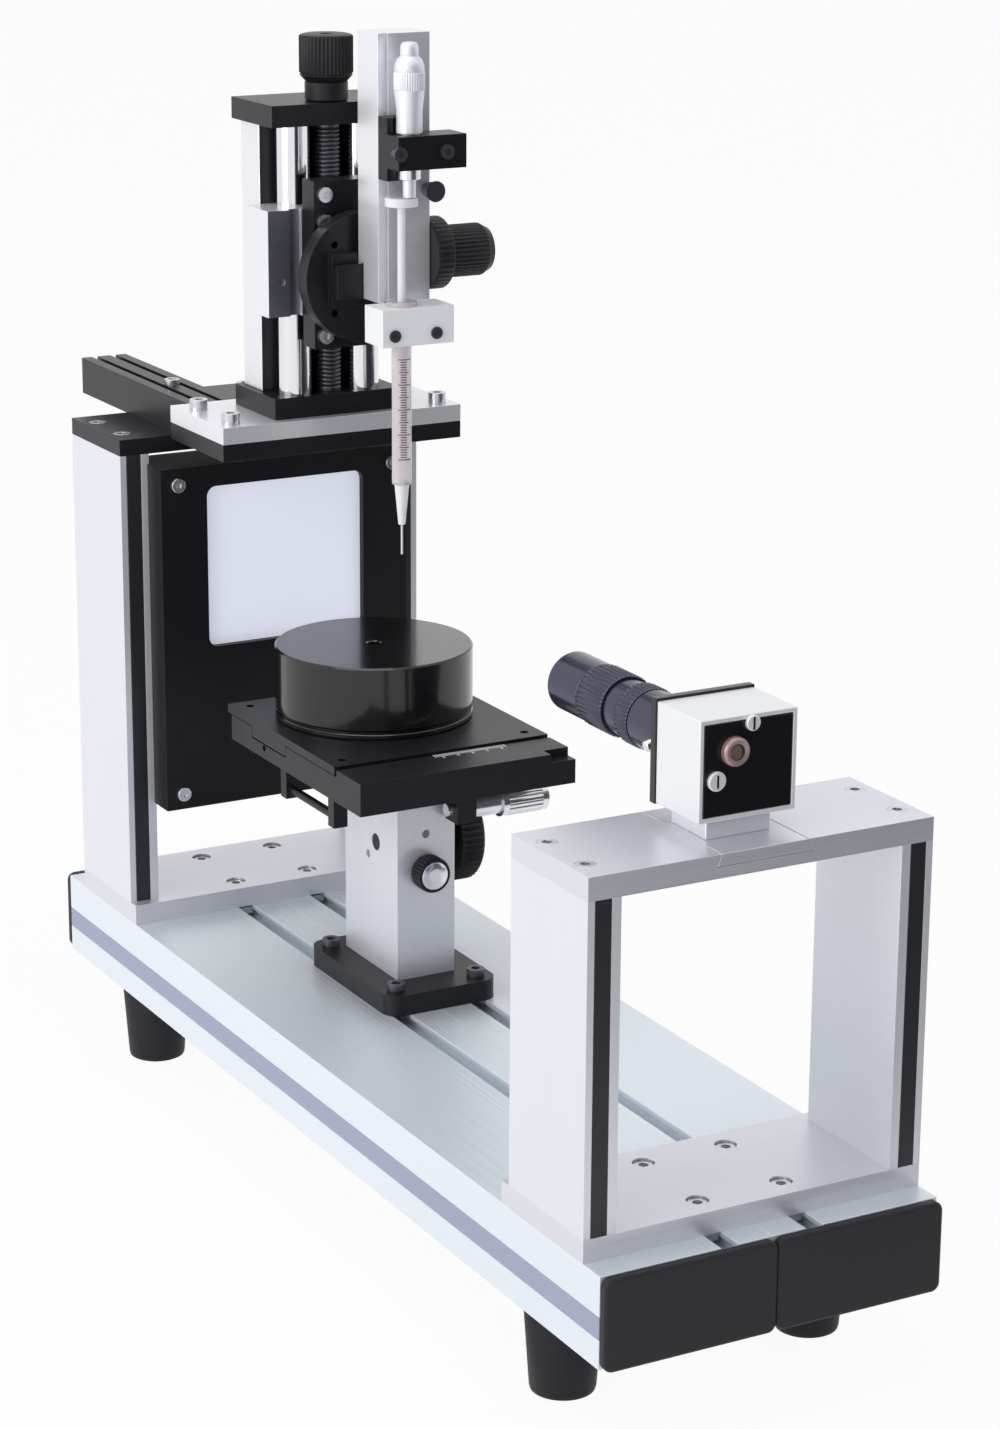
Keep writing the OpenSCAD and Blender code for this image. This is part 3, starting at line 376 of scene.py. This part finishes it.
# ---------------------------------------------------------------------------------------------
# End caps. Moulded black covers are pressed on each end of the two profiles. They have
# rounded corners and a fine matt texture.
# ---------------------------------------------------------------------------------------------
def machined(node, material, edge=0.0004, edge_angle=40):
    """The node's own shape with its sharp edges broken, as a milled or moulded piece has them."""
    bm = bmesh.new()
    bm.from_mesh(frame["nodes"][node].data)
    bmesh.ops.remove_doubles(bm, verts=bm.verts, dist=1e-6)
    bmesh.ops.dissolve_limit(bm, angle_limit=math.radians(0.8), verts=bm.verts, edges=bm.edges)
    return add_piece(node + "_piece", bm, material, body_of_node[node], (node,),
                     edge, edge_angle)


moulded_black = coated("moulded_black", (0.022, 0.022, 0.026), 0.0, 0.50, speckle=1.2, streaks=0.2,
                       clouding=0.5, bump=0.35, shade=0.25, specular=0.25)
machined("end_caps", moulded_black, edge=0.0012)


# ---------------------------------------------------------------------------------------------
# Side strips. A grey-blue plastic strip closes the groove along each side of the base, and
# black strips close the grooves in the edges of the uprights.
# ---------------------------------------------------------------------------------------------
grey_strip = coated("grey_strip", (0.33, 0.35, 0.48), 0.0, 0.42, speckle=0.4, streaks=0.6,
                    stretch=(1, 0.01, 1), bump=0.1, shade=0.06)
machined("side_slot_covers", grey_strip, edge=0.0003)
black_strip = coated("black_strip", (0.018, 0.018, 0.024), 0.0, 0.38, speckle=0.3, streaks=0.5,
                     stretch=(1, 1, 0.01), bump=0.1, shade=0.2)
machined("upright_strips", black_strip, edge=0.0003)


# ---------------------------------------------------------------------------------------------
# Feet. Four turned rubber feet taper towards the floor. A screw in the hollow of each one
# pulls it against the base.
# ---------------------------------------------------------------------------------------------
def turned_into(bm, rows, place, axis=(0, 0, 1), ridges=0, steps=72):
    """Adds a turned shape: rows of (radius, distance along the axis, ridge depth)."""
    if ridges:
        steps = ridges * 4
    turn = Vector((0, 0, 1)).rotation_difference(Vector(axis)).to_matrix()
    place = Vector(place)
    rings = []
    for row in rows:
        radius, along = row[0], row[1]
        ridge = row[2] if len(row) > 2 else 0.0
        ring = []
        for step in range(steps):
            angle = 2 * math.pi * step / steps
            wave = 0.5 - 0.5 * math.cos(angle * ridges) if ridge else 0.0
            reach = max(radius - ridge * wave, 1e-5)
            point = Vector((reach * math.cos(angle), reach * math.sin(angle), along))
            ring.append(bm.verts.new(place + turn @ point))
        rings.append(ring)
    for first, second in zip(rings, rings[1:]):
        for step in range(steps):
            after = (step + 1) % steps
            bm.faces.new((first[step], first[after], second[after], second[step]))
    bm.faces.new(rings[0])
    bm.faces.new(rings[-1])


def eased(radius, start, end, ease=0.0005, ridge=0.0):
    """Rows of a turned step between two distances, with both of its edges eased."""
    return [(radius - ease, start), (radius, start + ease, ridge), (radius, end - ease, ridge),
            (radius - ease, end)]


foot_rubber = coated("foot_rubber", (0.020, 0.020, 0.024), 0.0, 0.55, speckle=1.0, streaks=0.2,
                     clouding=0.6, bump=0.3, shade=0.3, specular=0.2)
foot_low, foot_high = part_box("rubber_feet")
foot_top, foot_bottom = 0.017, 0.014
foot_x = foot_high.x - foot_top
foot_front, foot_rear = foot_low.y + foot_top, foot_high.y - foot_top
foot_h = foot_high.z
bm = bmesh.new()
for x in (-foot_x, foot_x):
    for y in (foot_front, foot_rear):
        turned_into(bm, [(0.0070, 0.0200), (0.0070, 0.0008), (foot_bottom - 0.0016, 0.0),
                         (foot_bottom - 0.0004, 0.0006), (foot_bottom, 0.0020),
                         (foot_top - 0.0004, foot_h - 0.0015), (foot_top - 0.0012, foot_h),
                         (0.0028, foot_h)], (x, y, 0))
add_piece("rubber_feet_moulded", bm, foot_rubber, "frame", ("rubber_feet",),
          edge_angle=50)


# ---------------------------------------------------------------------------------------------
# Screws. Bright steel cap screws hold the frames, the plates and the column down. Their
# sockets are dark inside.
# ---------------------------------------------------------------------------------------------
screw_steel = coated("screw_steel", (0.62, 0.62, 0.66), 0.9, 0.24, speckle=0.5, streaks=0.4,
                     clouding=0.4, bump=0.1, shade=0.12)
dark_screw = coated("dark_screw", (0.10, 0.10, 0.13), 0.7, 0.35, speckle=0.5, streaks=0.4,
                    clouding=0.4, bump=0.1, shade=0.15)
for node in ("foot_screws", "mount_plate_screws", "light_screws", "flange_screws", "frame_screws"):
    machined(node, screw_steel, edge=0.00025)
for node in ("column_foot_screws", "dispenser_screws"):
    machined(node, dark_screw, edge=0.00025)


# ---------------------------------------------------------------------------------------------
# Frames. The camera bridge and the light tower are plates and uprights of aluminium flat bar,
# milled to length and anodised. The tower's top plate is anodised black.
# ---------------------------------------------------------------------------------------------
silver_upright = coated("natural_anodised_upright", (0.80, 0.80, 0.85), 0.50, 0.36, speckle=0.3,
                        streaks=0.8, clouding=0.15, stretch=(1, 1, 0.004), bump=0.05, shade=0.04)
silver_plate = coated("natural_anodised_plate", (0.74, 0.74, 0.80), 0.60, 0.36, speckle=0.4,
                      streaks=0.7, clouding=0.25, stretch=(0.006, 1, 1), bump=0.07, shade=0.07)
black_anodised = coated("black_anodised", (0.010, 0.010, 0.014), 0.0, 0.36, speckle=0.7,
                        streaks=0.3, clouding=0.4, bump=0.10, shade=0.3, specular=0.28)
machined("bridge_uprights", silver_upright, edge=0.0005)
machined("tower_uprights", silver_upright, edge=0.0005)
machined("frame_foot_plates", silver_plate, edge=0.0005)
machined("bridge_top_plate", silver_plate, edge=0.0005)
machined("tower_top_plate", black_anodised, edge=0.0006)


# ---------------------------------------------------------------------------------------------
# Light panel. A black housing between the tower's uprights holds a light board behind an opal
# window. Its front frame is screwed on at the corners.
# ---------------------------------------------------------------------------------------------
black_sheet = coated("black_panel", (0.008, 0.008, 0.010), 0.0, 0.42, speckle=0.8, streaks=0.2,
                     clouding=0.5, bump=0.12, shade=0.3, specular=0.25)
machined("light_housing", black_sheet, edge=0.0006)
machined("light_front_frame", black_sheet, edge=0.0006)

window_material, nodes, links = new_material("lit_opal_window")
place = nodes.new("ShaderNodeTexCoord")
cloud = noise_at(nodes, links, place.outputs["Object"], 9, detail=2.0)
tone = nodes.new("ShaderNodeMix")
tone.data_type = "RGBA"
tone.inputs["A"].default_value = (0.72, 0.75, 0.86, 1)
tone.inputs["B"].default_value = (0.80, 0.82, 0.92, 1)
links.new(cloud, tone.inputs["Factor"])
opal = nodes.new("ShaderNodeBsdfPrincipled")
opal.inputs["Roughness"].default_value = 0.3
opal.inputs["Emission Strength"].default_value = 0.45
links.new(tone.outputs["Result"], opal.inputs["Base Color"])
links.new(tone.outputs["Result"], opal.inputs["Emission Color"])
window_out = nodes.new("ShaderNodeOutputMaterial")
links.new(opal.outputs[0], window_out.inputs[0])
machined("light_diffuser", window_material, edge=0.0003)
board_green = coated("board_green", (0.03, 0.16, 0.07), 0.0, 0.4, shade=0.2)
machined("light_board", board_green, edge=0.0002)


# ---------------------------------------------------------------------------------------------
# Beam and plates. A black grooved beam and a black plate lie on the tower and carry a silver
# plate in front of it, which the syringe's slide stands on.
# ---------------------------------------------------------------------------------------------
machined("support_beam", black_anodised, edge=0.0006)
machined("cantilever_plate", black_anodised, edge=0.0006)
bright_plate = coated("milled_bright_plate", (0.84, 0.84, 0.88), 0.55, 0.30, speckle=0.3,
                      streaks=0.6, stretch=(0.01, 1, 1), bump=0.05, shade=0.05)
machined("slide_mount_plate", bright_plate, edge=0.0004)


# ---------------------------------------------------------------------------------------------
# Syringe slide. Two ground rods and a lead screw stand between black end plates, in front of a
# milled back plate. A silver carriage runs on them and is moved by the knob on top.
# ---------------------------------------------------------------------------------------------
machined("slide_end_plates", black_anodised, edge=0.0006)
ground_steel = coated("ground_steel", (0.80, 0.80, 0.84), 1.0, 0.10, speckle=0.1, streaks=0.5,
                      clouding=0.1, stretch=(1, 1, 40), bump=0.02, shade=0.03)
machined("slide_guide_rods", ground_steel, edge=0.0)


def faced(piece, material, direction):
    """Gives the faces of a piece that look along direction a second material, used here to paint
    shade on those faces.
    """
    piece.data.materials.append(material)
    for face in piece.data.polygons:
        if face.normal.dot(Vector(direction)) > 0.9:
            face.material_index = 1


# Painted shade: the silver back plate's front face is coloured black where it lies in shadow behind
# the rods.
faced(machined("slide_back_plate", bright_plate, edge=0.0005), black_anodised, (0, -1, 0))
# Painted shade: a darker grey copy of the bright plate finish, given to the carriage's front face,
# which the lamps light less.
painted_front_shade = coated("painted_front_shade", (0.16, 0.16, 0.19), 0.5, 0.34, speckle=0.4, streaks=0.5,
                       stretch=(0.01, 1, 1), bump=0.05, shade=0.1)
faced(machined("slide_carriage", bright_plate, edge=0.0005), painted_front_shade, (0, -1, 0))
dark_steel = coated("dark_steel", (0.10, 0.10, 0.12), 0.8, 0.32, speckle=0.4, streaks=0.5,
                    stretch=(1, 1, 30), bump=0.1, shade=0.2)

screw_low, screw_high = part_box("lead_screw")
screw_x, screw_y = (screw_low.x + screw_high.x) / 2, (screw_low.y + screw_high.y) / 2
screw_r = (screw_high.x - screw_low.x) / 2
thread_pitch, thread_depth = 0.002, 0.0007
plates_low, plates_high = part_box("slide_end_plates")
thread_from, thread_to = plates_low.z + 0.0115, plates_high.z - 0.0115
rows = [(screw_r - 0.0004, screw_low.z), (screw_r, screw_low.z + 0.0004), (screw_r, thread_from)]
along = thread_from
while along + thread_pitch <= thread_to:
    rows += [(screw_r, along + thread_pitch * 0.2),
             (screw_r - thread_depth, along + thread_pitch * 0.5),
             (screw_r, along + thread_pitch * 0.8)]
    along += thread_pitch
rows += [(screw_r, thread_to), (screw_r, screw_high.z - 0.0004), (screw_r - 0.0004, screw_high.z)]
bm = bmesh.new()
turned_into(bm, rows, (screw_x, screw_y, 0), steps=48)
add_piece("lead_screw_threaded", bm, dark_steel, "lead_screw", ("lead_screw",),
          edge_angle=50)

knurled_black = coated("knurled_black", (0.010, 0.010, 0.013), 0.0, 0.42, speckle=0.9, streaks=0.2,
                       clouding=0.4, bump=0.15, shade=0.3, specular=0.28)
knob_low, knob_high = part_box("slide_knob")
knob_r = (knob_high.x - knob_low.x) / 2
knob_h = knob_high.z - knob_low.z
bm = bmesh.new()
turned_into(bm, [(0.0060, 0.0)] + eased(0.0100, 0.0, 0.0088)
            + [(0.0100, 0.0090), (knob_r - 0.0002, 0.0115)]
            + eased(knob_r, 0.0120, knob_h - 0.0004, 0.0007, 0.0006)
            + [(knob_r - 0.0022, knob_h), (0.0030, knob_h), (0.0026, knob_h - 0.0006)],
            (screw_x, screw_y, knob_low.z), ridges=44)
add_piece("slide_knob_knurled", bm, knurled_black, "lead_screw", ("slide_knob",),
          edge_angle=35)


# ---------------------------------------------------------------------------------------------
# Tilt joint. A black flange is screwed to the carriage, and a black disc turns in it so that
# the syringe can be set upright.
# ---------------------------------------------------------------------------------------------
machined("carriage_flange", black_anodised, edge=0.0005)
machined("tilt_disc", black_anodised, edge=0.0006)


# ---------------------------------------------------------------------------------------------
# Dispenser. A silver column slides across on the disc's dovetail and carries the micrometer
# bracket above and the white syringe holder below.
# ---------------------------------------------------------------------------------------------
machined("dispenser_column", bright_plate, edge=0.0005)
machined("micrometer_bracket", black_anodised, edge=0.0005)
white_plastic = coated("white_acetal", (0.86, 0.86, 0.88), 0.0, 0.38, speckle=0.4, streaks=0.2,
                       clouding=0.3, bump=0.06, shade=0.03)
machined("syringe_holder", white_plastic, edge=0.0025)

cross_low, cross_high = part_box("cross_knob")
column_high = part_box("dispenser_column")[1]
cross_y = (cross_low.y + cross_high.y) / 2
cross_z = (cross_low.z + cross_high.z) / 2
collar_r = (cross_high.z - cross_low.z) / 2
cross_start = column_high.x + 0.0003
cross_len = cross_high.x - cross_start
bm = bmesh.new()
turned_into(bm, [(0.0030, -0.012), (0.0030, 0.0)] + eased(collar_r, 0.0, 0.0085, 0.0006, 0.0004)
            + eased(0.0120, 0.0087, cross_len - 0.003, 0.0006, 0.0005)
            + [(0.0100, cross_len), (0.0020, cross_len)],
            (cross_start, cross_y, cross_z), (1, 0, 0), ridges=40)
add_piece("cross_knob_knurled", bm, knurled_black, "cross_knob", ("cross_knob",),
          edge_angle=35)


# ---------------------------------------------------------------------------------------------
# Micrometer head. A hardened sleeve is clamped in the bracket, and the satin chromed thimble
# on it pushes the plunger down. The thimble has fine ridges round its grip.
# ---------------------------------------------------------------------------------------------
satin_chrome = coated("satin_chrome", (0.78, 0.79, 0.83), 0.9, 0.22, speckle=0.2, streaks=0.5,
                      clouding=0.1, stretch=(1, 1, 40), bump=0.03, shade=0.04)
machined("micrometer_sleeve", satin_chrome, edge=0.0003)
plunger_white = coated("plunger_white", (0.84, 0.80, 0.86), 0.0, 0.30, speckle=0.3, streaks=0.3,
                       clouding=0.3, bump=0.04, shade=0.03)
machined("plunger_rod", plunger_white, edge=0.0003)
thimble_low, thimble_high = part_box("micrometer_thimble")
micro_x, micro_y = (thimble_low.x + thimble_high.x) / 2, (thimble_low.y + thimble_high.y) / 2
thimble_r = (thimble_high.x - thimble_low.x) / 2
thimble_cap = 0.006
barrel_top = thimble_high.z - thimble_cap
thimble_start = barrel_top - 0.034
bm = bmesh.new()
turned_into(bm, [(0.0030, thimble_low.z), (0.0030, thimble_start + 0.0006),
                 (0.0052, thimble_start + 0.0006), (0.0056, thimble_start),
                 (0.0059, thimble_start + 0.0004), (thimble_r - 0.0012, thimble_start + 0.010),
                 (thimble_r - 0.0002, thimble_start + 0.0185)]
            + eased(thimble_r, thimble_start + 0.0190, thimble_start + 0.0270, 0.0003, 0.0003)
            + [(thimble_r - 0.0002, thimble_start + 0.0272),
               (thimble_r - 0.0004, barrel_top - 0.004),
               (thimble_r - 0.0013, barrel_top - 0.0015), (thimble_r - 0.0030, barrel_top),
               (0.0042, barrel_top + 0.0006), (0.0040, thimble_high.z - 0.0014),
               (0.0032, thimble_high.z - 0.0003), (0.0020, thimble_high.z)],
            (micro_x, micro_y, 0), ridges=40)
matt_chrome = coated("matt_chrome", (0.80, 0.82, 0.88), 0.45, 0.42, speckle=0.4, streaks=0.5,
                     clouding=0.2, stretch=(1, 1, 40), bump=0.05, shade=0.04)
add_piece("thimble_turned", bm, matt_chrome, "thimble", ("micrometer_thimble",),
          edge_angle=35)


# ---------------------------------------------------------------------------------------------
# Syringe. A clear barrel with violet graduations holds the liquid. Its white hub carries a
# thin steel needle.
# ---------------------------------------------------------------------------------------------
barrel_low, barrel_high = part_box("syringe_barrel")
syringe_x, syringe_y = (barrel_low.x + barrel_high.x) / 2, (barrel_low.y + barrel_high.y) / 2
clear_material, nodes, links = new_material("clear_barrel")
clear = nodes.new("ShaderNodeBsdfPrincipled")
clear.inputs["Base Color"].default_value = (0.96, 0.90, 0.93, 1)
clear.inputs["Roughness"].default_value = 0.12
clear.inputs["Transmission Weight"].default_value = 0.55
clear.inputs["IOR"].default_value = 1.45
place = nodes.new("ShaderNodeTexCoord")
draw_lines = noise_at(nodes, links, place.outputs["Object"], 500, stretch=(1, 1, 0.05))
relief = nodes.new("ShaderNodeBump")
relief.inputs["Strength"].default_value = 0.05
relief.inputs["Distance"].default_value = 0.0001
links.new(draw_lines, relief.inputs["Height"])
links.new(relief.outputs[0], clear.inputs["Normal"])
clear_out = nodes.new("ShaderNodeOutputMaterial")
links.new(clear.outputs[0], clear_out.inputs[0])
machined("syringe_barrel", clear_material, edge=0.0003)
machined("needle_hub", white_plastic, edge=0.0002)
machined("needle", satin_chrome, edge=0.0)


def arc_strip(bm, centre, radius, height, thick, start, end, steps=10):
    """A thin raised line on a cylinder, from one angle to another."""
    rings = []
    for step in range(steps + 1):
        angle = start + (end - start) * step / steps
        ring = []
        for reach in (radius, radius + 0.00012):
            for z in (height - thick / 2, height + thick / 2):
                ring.append(bm.verts.new((centre[0] + reach * math.cos(angle),
                                          centre[1] + reach * math.sin(angle), z)))
        rings.append(ring)
    for first, second in zip(rings, rings[1:]):
        bm.faces.new((first[2], first[3], second[3], second[2]))
        bm.faces.new((first[0], first[2], second[2], second[0]))
        bm.faces.new((first[1], second[1], second[3], first[3]))
    for ring in (rings[0], rings[-1]):
        bm.faces.new((ring[0], ring[1], ring[3], ring[2]))


violet_ink = coated("violet_ink", (0.10, 0.008, 0.08), 0.0, 0.45, speckle=0.4, shade=0.15)
barrel_r = 0.0045
mark_from, mark_to, mark_step = barrel_low.z + 0.012, barrel_low.z + 0.058, 0.00115
bm = bmesh.new()
count = 0
height = mark_from
front_angle = math.radians(-112)
while height < mark_to:
    reach = math.radians(52 if count % 10 == 0 else 38 if count % 5 == 0 else 24)
    arc_strip(bm, (syringe_x, syringe_y), barrel_r, height, 0.00042, front_angle - reach / 2,
              front_angle + reach)
    height += mark_step
    count += 1
add_piece("syringe_graduations", bm, violet_ink, "dispenser", edge_angle=30)

seal_rubber = coated("seal_rubber", (0.05, 0.012, 0.035), 0.0, 0.4, speckle=0.4, shade=0.2)
rod_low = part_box("plunger_rod")[0]
bm = bmesh.new()
seal_r = 0.00268
turned_into(bm, [(0.0006, -0.0014), (seal_r - 0.0002, 0.0002), (seal_r, 0.0008),
                 (seal_r, 0.0018), (seal_r - 0.0004, 0.0023), (seal_r, 0.0028),
                 (seal_r, 0.0055), (seal_r - 0.0005, 0.0062), (0.0018, 0.0062)],
            (syringe_x, syringe_y, rod_low.z), steps=40)
add_piece("plunger_seal", bm, seal_rubber, "plunger", edge_angle=40)


# ---------------------------------------------------------------------------------------------
# Column. A silver square column on a black foot plate is screwed to the base's slots. A ram
# inside it lifts the stage by the big knurled knob, and a small knob clamps it.
# ---------------------------------------------------------------------------------------------
machined("column_foot_plate", black_anodised, edge=0.0008)
machined("lift_column", silver_upright, edge=0.0006)
machined("lift_ram", dark_steel, edge=0.0004)

lift_low, lift_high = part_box("lift_pinion_knob")
pinion_y, pinion_z = (lift_low.y + lift_high.y) / 2, (lift_low.z + lift_high.z) / 2
wheel_r = (lift_high.z - lift_low.z) / 2
lift_len = lift_high.x - lift_low.x
wheel_start = lift_len - 0.012
bm = bmesh.new()
turned_into(bm, [(0.0035, 0.0), (0.0040, 0.0005), (0.0040, 0.0060), (0.0060, 0.0062),
                 (0.0060, 0.0218), (0.0040, 0.0220), (0.0040, wheel_start - 0.0022),
                 (0.0090, wheel_start - 0.0020), (0.0090, wheel_start)]
            + eased(wheel_r, wheel_start + 0.0002, lift_len - 0.0002, 0.0012, 0.0011)
            + [(wheel_r - 0.0022, lift_len), (0.0186, lift_len), (0.0180, lift_len - 0.0018),
               (0.0060, lift_len - 0.0020), (0.0055, lift_len - 0.0012),
               (0.0020, lift_len - 0.0010)],
            (lift_low.x, pinion_y, pinion_z), (1, 0, 0), ridges=48)
add_piece("lift_knob_knurled", bm, knurled_black, "lift_knob",
          ("lift_pinion_knob",), edge_angle=35)

clamp_low, clamp_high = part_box("column_clamp_knob")
clamp_x, clamp_z = (clamp_low.x + clamp_high.x) / 2, (clamp_low.z + clamp_high.z) / 2
clamp_back = clamp_low.y + 0.009
bm = bmesh.new()
turned_into(bm, [(0.0030, -0.014), (0.0030, 0.0)] + eased(0.0085, 0.0, 0.0086, 0.0006, 0.0006)
            + [(0.0070, 0.0086)], (clamp_x, clamp_back, clamp_z), (0, -1, 0), ridges=30)
add_piece("clamp_knob_rim", bm, knurled_black, "clamp_knob",
          ("column_clamp_knob",), edge_angle=35)
bm = bmesh.new()
turned_into(bm, [(0.0060, 0.0), (0.0066, 0.0003), (0.0062, 0.0006), (0.0030, 0.0006)],
            (clamp_x, clamp_back - 0.0084, clamp_z), (0, -1, 0), steps=48)
add_piece("clamp_knob_face", bm, satin_chrome, "clamp_knob", edge_angle=40)


# ---------------------------------------------------------------------------------------------
# Stage. The black stage body has an engraved scale on its front bar, and a plate slides across
# it. The round table on top turns and is polished black.
# ---------------------------------------------------------------------------------------------
machined("stage_body", black_anodised, edge=0.0006)
machined("stage_top_plate", black_anodised, edge=0.0005)
machined("traverse_micrometer", satin_chrome, edge=0.0002)

polished_black = coated("polished_black", (0.010, 0.010, 0.011), 0.2, 0.16, speckle=0.3,
                        streaks=0.3, clouding=0.4, bump=0.03, shade=0.3, coat=0.3)
table_low, table_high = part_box("round_table")
table_x = (table_low.x + table_high.x) / 2
table_r = (table_high.x - table_low.x) / 2
table_y = table_high.y - (table_high.y - table_low.y) / 2
pivot_h = 0.0043
disc_bottom = table_low.z + pivot_h
bm = bmesh.new()
turned_into(bm, [(0.0100, table_low.z), (0.0100, disc_bottom)]
            + eased(table_r, disc_bottom, disc_bottom + 0.0024, 0.0004)
            + eased(table_r - 0.0011, disc_bottom + 0.0025, disc_bottom + 0.0035, 0.0002)
            + eased(table_r, disc_bottom + 0.0036, table_high.z, 0.0008)
            + [(0.0036, table_high.z), (0.0030, table_high.z - 0.0006),
               (0.0030, table_high.z - 0.006)],
            (table_x, table_y, 0), steps=160)
add_piece("round_table_turned", bm, polished_black, "table", ("round_table",),
          edge_angle=35)

scale_white = coated("scale_white", (0.80, 0.80, 0.82), 0.0, 0.5, speckle=0.4, shade=0.04)


def add_bar(bm, low, high):
    corners = [bm.verts.new((x, y, z)) for x in (low[0], high[0]) for y in (low[1], high[1])
               for z in (low[2], high[2])]
    for face in ((0, 1, 3, 2), (4, 6, 7, 5), (0, 4, 5, 1), (2, 3, 7, 6), (0, 2, 6, 4),
                 (1, 5, 7, 3)):
        bm.faces.new([corners[i] for i in face])


body_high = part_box("stage_body")[1]
plate_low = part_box("stage_top_plate")[0]
bar_top = body_high.z
bar_back = plate_low.y - 0.002
bm = bmesh.new()
for mark in range(-12, 13):
    reach = 0.006 if mark % 5 == 0 else 0.0035
    x = 0.012 + mark * 0.0015
    add_bar(bm, (x - 0.00026, bar_back - reach, bar_top - 0.0001),
            (x + 0.00026, bar_back, bar_top + 0.00012))
add_piece("stage_scale", bm, scale_white, "stage", edge_angle=30)


# ---------------------------------------------------------------------------------------------
# Camera and lens. A small silver camera with black covers stands on a block and a sliding bar.
# Its lens has knurled rings and bright lock screws.
# ---------------------------------------------------------------------------------------------
machined("camera_slide_bar", silver_plate, edge=0.0002)
machined("camera_block", bright_plate, edge=0.0005)
camera_white = coated("camera_body_finish", (0.86, 0.86, 0.88), 0.35, 0.36, speckle=0.4,
                      streaks=0.2, bump=0.06, shade=0.03)
machined("camera_body", camera_white, edge=0.0007)
gloss_black = coated("camera_cover_black", (0.010, 0.010, 0.012), 0.1, 0.22, speckle=0.3,
                     clouding=0.4, bump=0.04, shade=0.3)
machined("camera_fittings", gloss_black, edge=0.0004)
lens_metal = coated("lens_metal", (0.07, 0.07, 0.11), 0.75, 0.18, speckle=0.3, streaks=0.4,
                    stretch=(1, 30, 1), bump=0.04, shade=0.12)
machined("lens_barrel", lens_metal, edge=0.0004)
lens_ring_metal = coated("lens_ring_metal", (0.06, 0.06, 0.10), 0.7, 0.26, speckle=0.4, shade=0.2)
barrel_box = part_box("lens_barrel")
lens_z = (barrel_box[0].z + barrel_box[1].z) / 2
ring_bore_r = 0.0101
for node, body in (("focus_ring", "focus"), ("aperture_ring", "aperture")):
    ring_low, ring_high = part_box(node)
    ring_r = (ring_high.z - ring_low.z) / 2
    length = ring_high.y - ring_low.y
    bm = bmesh.new()
    turned_into(bm, [(ring_bore_r, 0.0)] + eased(ring_r, 0.0, length, 0.0006, 0.0006)
                + [(ring_bore_r, length)], (0, ring_low.y, lens_z), (0, 1, 0), ridges=44)
    add_piece(node + "_knurled", bm, lens_ring_metal, body, (node,),
              edge_angle=35)

case_low, case_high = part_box("camera_body")
cover_y = case_low.y
connector_bronze = coated("connector_bronze", (0.42, 0.29, 0.27), 0.5, 0.38, speckle=0.5,
                          clouding=0.4, bump=0.1, shade=0.15)
connector_x, connector_z, connector_r = -0.007, case_high.z - 0.0138, 0.0060
bm = bmesh.new()
turned_into(bm, [(0.0028, 0.0006), (0.0034, 0.0030), (connector_r - 0.0010, 0.0034),
                 (connector_r - 0.0002, 0.0028), (connector_r, 0.0020), (connector_r, 0.0002),
                 (0.0040, 0.0)], (connector_x, cover_y, connector_z), (0, -1, 0), steps=64)
add_piece("connector_ring", bm, connector_bronze, "camera", edge_angle=40)

# Each cover screw: its place, then the radii of its head, its back and the middle of its face.
cover_screws = ((-0.0150, case_high.z - 0.0250, 0.0040, 0.0010, 0.0008),
                (0.0011, case_high.z - 0.0034, 0.0032, 0.0008, 0.0006))
bm = bmesh.new()
for x, z, head_r, back_r, face_r in cover_screws:
    turned_into(bm, [(back_r, 0.0002), (head_r, 0.0002), (head_r, 0.0014),
                     (head_r - 0.0004, 0.0018), (face_r, 0.0018)], (x, cover_y, z), (0, -1, 0),
                steps=40)
add_piece("cover_screws", bm, camera_white, "camera", edge_angle=40)
slot_half_w, slot_half_h = 0.0004, 0.0026
bm = bmesh.new()
for x, z in [screw[:2] for screw in cover_screws]:
    add_bar(bm, (x - slot_half_w, cover_y - 0.0020, z - slot_half_h),
            (x + slot_half_w, cover_y - 0.0017, z + slot_half_h))
add_piece("cover_screw_slots", bm, gloss_black, "camera", edge_angle=40)

lock_angles = (math.radians(195), math.radians(118))
first_ring_y = min(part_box(node)[0].y for node in ("focus_ring", "aperture_ring"))
lock_y = (case_high.y + first_ring_y) / 2
bm = bmesh.new()
for lean in lock_angles:
    turned_into(bm, [(0.0008, 0.0080), (0.0008, 0.0126), (0.0020, 0.0126), (0.0023, 0.0129),
                     (0.0023, 0.0158), (0.0020, 0.0161), (0.0006, 0.0161)],
                (0, lock_y, lens_z), (math.cos(lean), 0, math.sin(lean)), ridges=14)
add_piece("lens_lock_screws", bm, satin_chrome, "camera", edge_angle=40)

glass_material, nodes, links = new_material("coated_glass")
glass = nodes.new("ShaderNodeBsdfPrincipled")
glass.inputs["Base Color"].default_value = (0.55, 0.60, 0.80, 1)
glass.inputs["Roughness"].default_value = 0.04
glass.inputs["Transmission Weight"].default_value = 0.8
glass.inputs["IOR"].default_value = 1.6
glass_out = nodes.new("ShaderNodeOutputMaterial")
links.new(glass.outputs[0], glass_out.inputs[0])
machined("lens_glass", glass_material, edge=0.0003)
